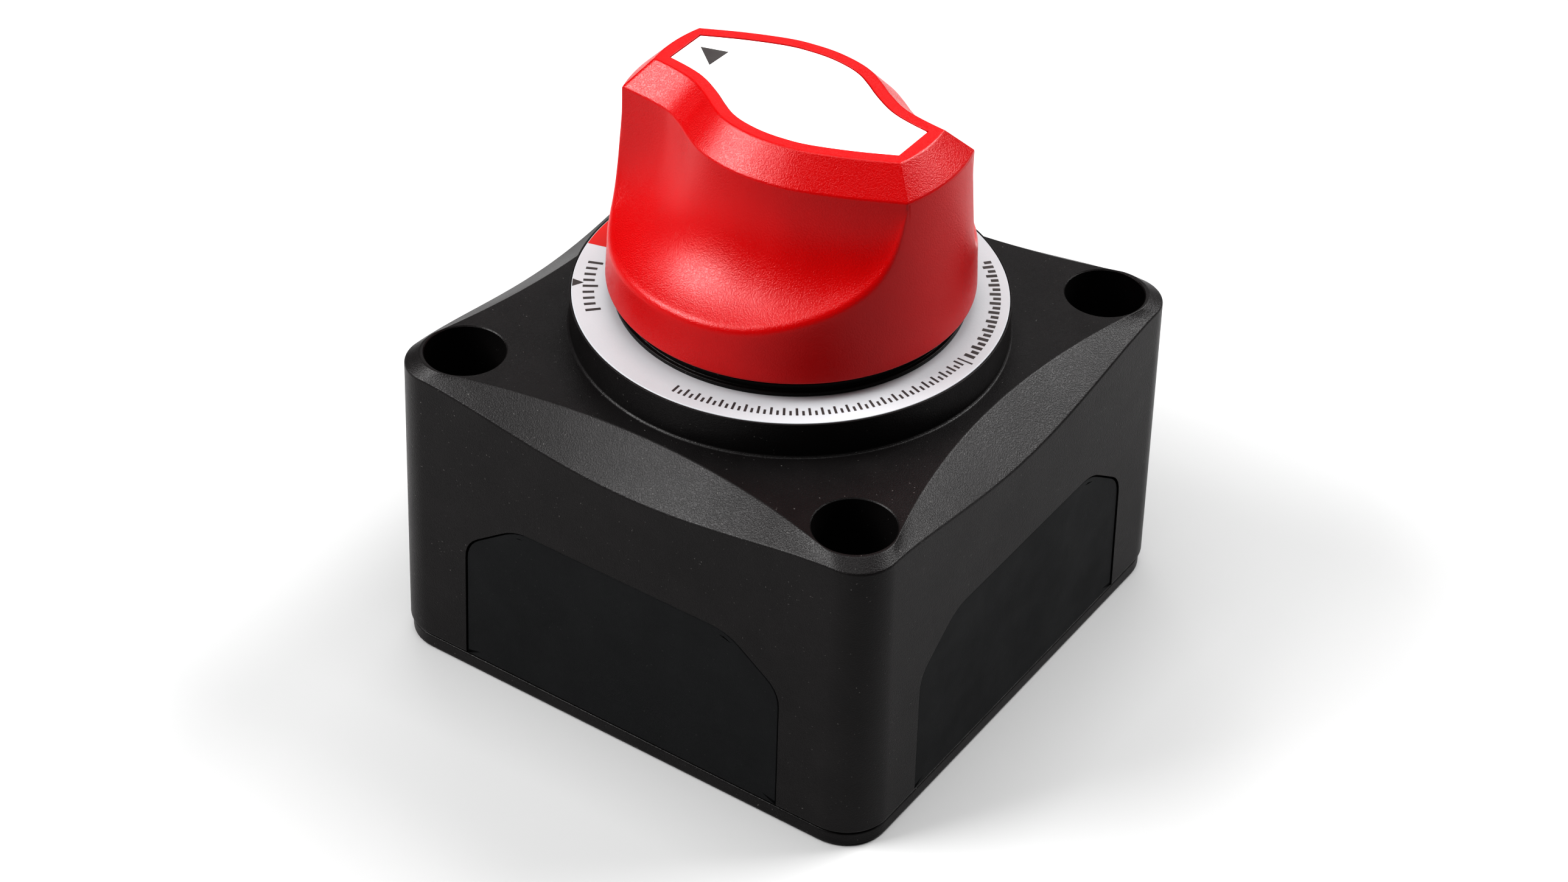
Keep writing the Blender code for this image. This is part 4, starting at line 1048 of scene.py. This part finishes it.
def knob_rings(lip=0.85, edge=0.22):
    """The knob's skin, from the recess for the insert over the grip and down to the socket.

    The scoop is a cove, a little squarer than an ellipse: at a turn t from 0 to 56 degrees its
    radius grows from the shoulder to the rim as 1 - (cos t)^p and its height falls as
    (sin t)^p. The rim rounds into the skirt over the lip, which fades where the scoop has no
    depth.
    """
    recess_at, top_at, bearing = knob_bearings()
    top_z, base_z = KNOB_HIGH[2], KNOB_LOW[2]
    recess = np.minimum(grip_radius(recess_at, -INSERT_MARGIN), straight_end(recess_at))
    top = np.minimum(grip_radius(top_at, 0.0), GRIP_RADIUS)
    shoulder = np.minimum(grip_radius(bearing, CHAMFER_WIDTH), SHOULDER_RADIUS)

    upper = [
        polar(recess * 0.5, recess_at, top_z - RECESS_DEPTH),
        polar(recess, recess_at, top_z - RECESS_DEPTH), polar(recess, recess_at, top_z),
        polar(top, top_at, top_z), polar(shoulder, bearing, SHOULDER_Z),
        polar(shoulder, bearing, SHOULDER_Z - 2.5 * edge),
    ]
    rings = soften(upper, [0, 0, 0.09, edge, edge, 0])[:-1]

    start_z = SHOULDER_Z - 1.2 * edge
    below = flare_bearing(bearing)
    rim_z = np.minimum(scoop_rim(below), start_z)
    rim = polar(skirt_radius(rim_z), below, 0)
    wall = polar(np.minimum(shoulder, skirt_radius(rim_z)), bearing, start_z)
    depth = start_z - rim_z
    reach = np.minimum(lip, 0.3 * depth)

    def cove(turn):
        out = (1 - np.cos(turn) ** COVE_POWER) / (1 - math.cos(COVE_END) ** COVE_POWER)
        down = (np.sin(turn) / math.sin(COVE_END)) ** COVE_POWER
        out, fall = np.reshape(out, (-1, 1)), np.zeros_like(wall)
        fall[:, 2] = depth * down
        return wall + (rim - wall) * (1, 1, 0) * out - fall

    small = 0.02
    step = np.linalg.norm(cove(COVE_END) - cove(COVE_END - small), axis=1)
    stop = COVE_END - np.minimum(small * reach / np.maximum(step, 1e-6), 0.4)
    rings += [cove(stop * share ** 1.3) for share in np.linspace(0, 1, 40)]
    start, corner = cove(stop), rim + rim_z[:, None] * (0, 0, 1)
    end_z = rim_z - reach
    end = polar(skirt_radius(end_z), below, end_z)
    rings += [bezier(start, corner, end, t) for t in np.linspace(0, 1, 9)[1:]]

    for share in (0.15, 0.4, 0.7):
        z = end_z + (base_z + 1.0 - end_z) * share
        rings.append(polar(skirt_radius(z), below, z))
    pocket, pocket_z, hollow, hollow_z, boss = 18.5, base_z + 1.6, 17.6, base_z + 4.0, 8.6
    socket = square_radius(SOCKET_HALF, below)
    lower = [
        (skirt_radius(base_z + 1.0), base_z + 1.0, 0), (KNOB_BASE_RADIUS, base_z, 0.35),
        (pocket, base_z, 0.2), (pocket, pocket_z, 0.15), (hollow, pocket_z, 0.1),
        (hollow, hollow_z, 0.2), (boss, hollow_z, 0.3), (boss, pocket_z, 0.2),
        (socket, pocket_z, 0.15), (socket, SPINDLE_HIGH[2] + 0.3, 0.1),
        (socket * 0.3, SPINDLE_HIGH[2] + 0.3, 0),
    ]
    return rings + profile_rings(lower, below)


class SWITCH_OT_knob(bpy.types.Operator):
    """Build the red knob with its S-shaped grip and finger scoops"""

    bl_idname = "battery_switch.knob"
    bl_label = "Knob"

    def execute(self, context):
        knob = new_piece("knob_grip", knob_rings(), knob_red(), sharp=50.0)
        belongs_to(knob, "knob", "knob_red", "knob")
        return {"FINISHED"}


class SWITCH_OT_insert(bpy.types.Operator):
    """Build the white insert in the grip and its arrow"""

    bl_idname = "battery_switch.insert"
    bl_label = "Insert and arrow"

    def execute(self, context):
        margin = INSERT_MARGIN + INSERT_GAP
        bearing = knob_bearings(520)[0]
        end = straight_end(bearing, INSERT_HALF_LENGTH - INSERT_GAP)
        outline = np.minimum(grip_radius(bearing, -margin), end)
        low, high = INSERT_LOW[2], KNOB_HIGH[2] - INSERT_SINK
        levels = [
            (outline * 0.5, high), (outline, high), (outline, low), (outline * 0.5, low),
        ]
        rings = soften([polar(radius, bearing, z) for radius, z in levels], [0, 0.08, 0, 0])
        insert = new_piece("insert_plate", rings, insert_white())
        belongs_to(insert, "knob", "insert_white", "knob_insert")

        arrow = np.array([(-14.6, 1.7), (-11.5, -0.9), (-11.35, 2.7)])
        points = np.column_stack([arrow, np.full(3, high - PRINT_SINK)])
        mark = flat_plate("arrow_mark", points, print_dark())
        belongs_to(mark, "knob", "insert_white")
        return {"FINISHED"}


# --- Inner pieces --------------------------------------------------------------------


def spring_rings(low, high, outer, wire, turns):
    """A compression spring that stands on Z between two heights.

    At an angle a along the coil and b round the wire: radius R + w cos b at angle a, and height
    h(a) + w sin b, where h rises evenly.
    """
    along = np.linspace(0, 2 * math.pi * turns, int(turns * 40))[:, None]
    around = np.linspace(0, 2 * math.pi, 14, endpoint=False)
    rise = (high - low - 2 * wire) * along / along[-1]
    height = low + wire + rise + wire * np.sin(around)
    return polar(outer - wire + wire * np.cos(around), along, height)


class SWITCH_OT_springs(bpy.types.Operator):
    """Build the coiled springs of the contact and the detent"""

    bl_idname = "battery_switch.springs"
    bl_label = "Springs"

    def execute(self, context):
        low, high = node_box("contact_spring")
        rings = spring_rings(low[2], high[2], high[0], CONTACT_WIRE, CONTACT_TURNS)
        spring = new_piece("contact_coil", rings, steel())
        belongs_to(spring, "shaft", "steel", "contact_spring")
        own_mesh(spring)

        low, high = node_box("detent_spring_a")
        outer, middle_z = high[1], (low[2] + high[2]) / 2
        for letter, side in (("a", 1), ("b", -1)):
            upright = spring_rings(low[0], high[0], outer, DETENT_WIRE, DETENT_TURNS)
            lying = np.roll(upright, 1, axis=-1) * (side, side, 1) + (0, 0, middle_z)
            spring = new_piece(f"detent_coil_{letter}", lying, steel())
            belongs_to(spring, "shaft", "steel", f"detent_spring_{letter}")
            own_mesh(spring)
        return {"FINISHED"}


class SWITCH_OT_inner_parts(bpy.types.Operator):
    """Give the bearing, contacts, terminals and detent their finishes"""

    bl_idname = "battery_switch.inner_parts"
    bl_label = "Inner parts"

    def execute(self, context):
        for part in frame["record"]["subparts"]:
            finish = INNER_FINISHES.get(part["material_slot"])
            if finish is None:
                continue
            node = frame["nodes"][part["node"]]
            node.data.materials.clear()
            node.data.materials.append(finish())
        return {"FINISHED"}


# --- Stage ---------------------------------------------------------------------------


def add_camera(options):
    """A camera turned about the switch, aimed at a point beside and above its foot."""
    azimuth, elevation, roll = options.azimuth, options.elevation, options.roll
    back = Vector((
        math.sin(azimuth) * math.cos(elevation), -math.cos(azimuth) * math.cos(elevation),
        math.sin(elevation),
    ))
    level = Vector((math.cos(azimuth), math.sin(azimuth), 0.0))
    rise = back.cross(level)
    right = level * math.cos(roll) + rise * math.sin(roll)
    up = rise * math.cos(roll) - level * math.sin(roll)
    camera = bpy.data.objects.new("stage_camera", bpy.data.cameras.new("stage_camera"))
    camera.data.sensor_width = 36.0
    camera.data.lens = options.lens
    place = right * options.aim_right + up * options.aim_up + back * options.distance
    turn = Matrix((right, up, back)).transposed().to_4x4()
    camera.matrix_world = Matrix.Translation(place) @ turn
    bpy.context.scene.collection.objects.link(camera)
    bpy.context.scene.camera = camera


def add_softbox(name, azimuth, elevation, distance, size, power):
    """A square area light that faces the switch from an azimuth (0 is -Y, 90 is +X)."""
    light = bpy.data.lights.new(name, "AREA")
    light.shape = "RECTANGLE"
    light.size, light.size_y = size
    light.energy = power
    lamp = bpy.data.objects.new(name, light)
    a, e = math.radians(azimuth), math.radians(elevation)
    direction = Vector((math.sin(a) * math.cos(e), -math.cos(a) * math.cos(e), math.sin(e)))
    lamp.location = direction * distance + Vector((0, 0, 0.04))
    lamp.rotation_euler = direction.to_track_quat("Z", "Y").to_euler()
    bpy.context.scene.collection.objects.link(lamp)


class SWITCH_OT_stage(bpy.types.Operator):
    """Set the floor, the studio lights and the camera"""

    bl_idname = "battery_switch.stage"
    bl_label = "Stage"

    def execute(self, context):
        options = settings()
        scene = context.scene
        scene.view_settings.view_transform = "Standard"
        scene.view_settings.look = "Very High Contrast"
        mesh = bpy.data.meshes.new("stage_floor")
        reach = options.floor_size / 2
        mesh.from_pydata([
            (-reach, -reach, 0), (reach, -reach, 0), (reach, reach, 0), (-reach, reach, 0),
        ], [], [(0, 1, 2, 3)])
        floor = bpy.data.objects.new("stage_floor", mesh)
        scene.collection.objects.link(floor)
        material = bpy.data.materials.new("stage_pale")
        material.use_nodes = True
        shader = material.node_tree.nodes["Principled BSDF"]
        shader.inputs["Base Color"].default_value = (*options.floor_colour, 1.0)
        shader.inputs["Roughness"].default_value = 0.9
        shader.inputs["Specular IOR Level"].default_value = 0.0
        mesh.materials.append(material)

        world = bpy.data.worlds.new("stage_world")
        world.use_nodes = True
        backdrop = world.node_tree.nodes["Background"]
        backdrop.inputs["Color"].default_value = (1.0, 1.0, 1.0, 1.0)
        backdrop.inputs["Strength"].default_value = options.fill
        scene.world = world

        add_softbox("softbox_left", -48.0, 38.0, 1.1, (0.62, 0.54), options.key_power)
        add_softbox("softbox_right", 149.0, 41.0, 1.1, (0.62, 0.50), options.side_power)
        add_softbox("softbox_above", 0.0, 86.0, 1.2, (0.9, 0.9), options.top_power)
        add_softbox("softbox_rear", -147.0, 38.0, 1.3, (0.9, 0.6), options.rear_power)
        add_camera(options)
        return {"FINISHED"}


# --- Add-on --------------------------------------------------------------------------


class SwitchSettings(bpy.types.PropertyGroup):
    """Colours of the switch, and the place of the camera and lights"""

    housing_colour: FloatVectorProperty(
        name="Housing", description="Colour of the housing and back cover", subtype="COLOR",
        default=(0.0235, 0.0215, 0.0217), min=0.0, max=1.0,
    )
    cover_colour: FloatVectorProperty(
        name="Side covers", description="Colour of the side covers", subtype="COLOR",
        default=(0.0230, 0.0235, 0.0245), min=0.0, max=1.0,
    )
    knob_colour: FloatVectorProperty(
        name="Knob", description="Colour of the knob", subtype="COLOR",
        default=(0.46, 0.0002, 0.002), min=0.0, max=1.0,
    )
    label_colour: FloatVectorProperty(
        name="Label ring", description="Colour of the label ring", subtype="COLOR",
        default=(0.50, 0.515, 0.53), min=0.0, max=1.0,
    )
    floor_colour: FloatVectorProperty(
        name="Floor", description="Colour of the floor", subtype="COLOR",
        default=(0.56, 0.56, 0.56), min=0.0, max=1.0,
    )
    floor_size: FloatProperty(
        name="Floor size", description="Width of the floor", default=6.0, unit="LENGTH",
    )
    azimuth: FloatProperty(
        name="Azimuth", description="Turn of the camera from the front towards the right side",
        default=math.radians(33.29), subtype="ANGLE",
    )
    elevation: FloatProperty(
        name="Elevation", description="Height of the camera above the horizon",
        default=math.radians(38.09), subtype="ANGLE",
    )
    roll: FloatProperty(
        name="Roll", description="Turn of the camera about its own axis",
        default=math.radians(1.84), subtype="ANGLE",
    )
    lens: FloatProperty(
        name="Lens", description="Focal length in millimetres on a 36 mm sensor", default=80.19,
    )
    distance: FloatProperty(
        name="Distance", description="Camera to the point it aims at", default=0.4393,
        unit="LENGTH",
    )
    aim_right: FloatProperty(
        name="Aim right", description="Aim point to the right of the origin", default=0.00037,
        unit="LENGTH",
    )
    aim_up: FloatProperty(
        name="Aim up", description="Aim point above the origin, across the view",
        default=0.01869, unit="LENGTH",
    )
    fill: FloatProperty(
        name="Fill", description="Brightness of the surroundings", default=0.12, min=0.0,
    )
    key_power: FloatProperty(
        name="Left softbox", description="Power of the softbox at the front left", default=9.2,
        unit="POWER",
    )
    side_power: FloatProperty(
        name="Right softbox", description="Power of the softbox at the rear right", default=8.0,
        unit="POWER",
    )
    top_power: FloatProperty(
        name="Overhead softbox", description="Power of the softbox above", default=5.4,
        unit="POWER",
    )
    rear_power: FloatProperty(
        name="Rear softbox", description="Power of the softbox at the rear left", default=1.6,
        unit="POWER",
    )


OPERATORS = (
    SWITCH_OT_stage, SWITCH_OT_housing, SWITCH_OT_side_covers, SWITCH_OT_back_cover,
    SWITCH_OT_label_ring, SWITCH_OT_dial_marks, SWITCH_OT_bezel, SWITCH_OT_knob,
    SWITCH_OT_insert, SWITCH_OT_springs, SWITCH_OT_inner_parts,
)


class SWITCH_PT_panel(bpy.types.Panel):
    """Sidebar panel with the settings and one button for each group of pieces"""

    bl_idname = "SWITCH_PT_panel"
    bl_label = "Battery switch"
    bl_space_type = "VIEW_3D"
    bl_region_type = "UI"
    bl_category = "Battery switch"

    def draw(self, context):
        options = context.scene.battery_switch
        for name in SwitchSettings.__annotations__:
            self.layout.prop(options, name)
        for operator in OPERATORS:
            self.layout.operator(operator.bl_idname)


def register():
    for cls in (SwitchSettings, *OPERATORS, SWITCH_PT_panel):
        bpy.utils.register_class(cls)
    bpy.types.Scene.battery_switch = PointerProperty(type=SwitchSettings)


def unregister():
    del bpy.types.Scene.battery_switch
    for cls in reversed((SwitchSettings, *OPERATORS, SWITCH_PT_panel)):
        bpy.utils.unregister_class(cls)


def main():
    register()
    for operator in OPERATORS:
        group, name = operator.bl_idname.split(".")
        getattr(getattr(bpy.ops, group), name)()


if __name__ == "__main__":
    main()
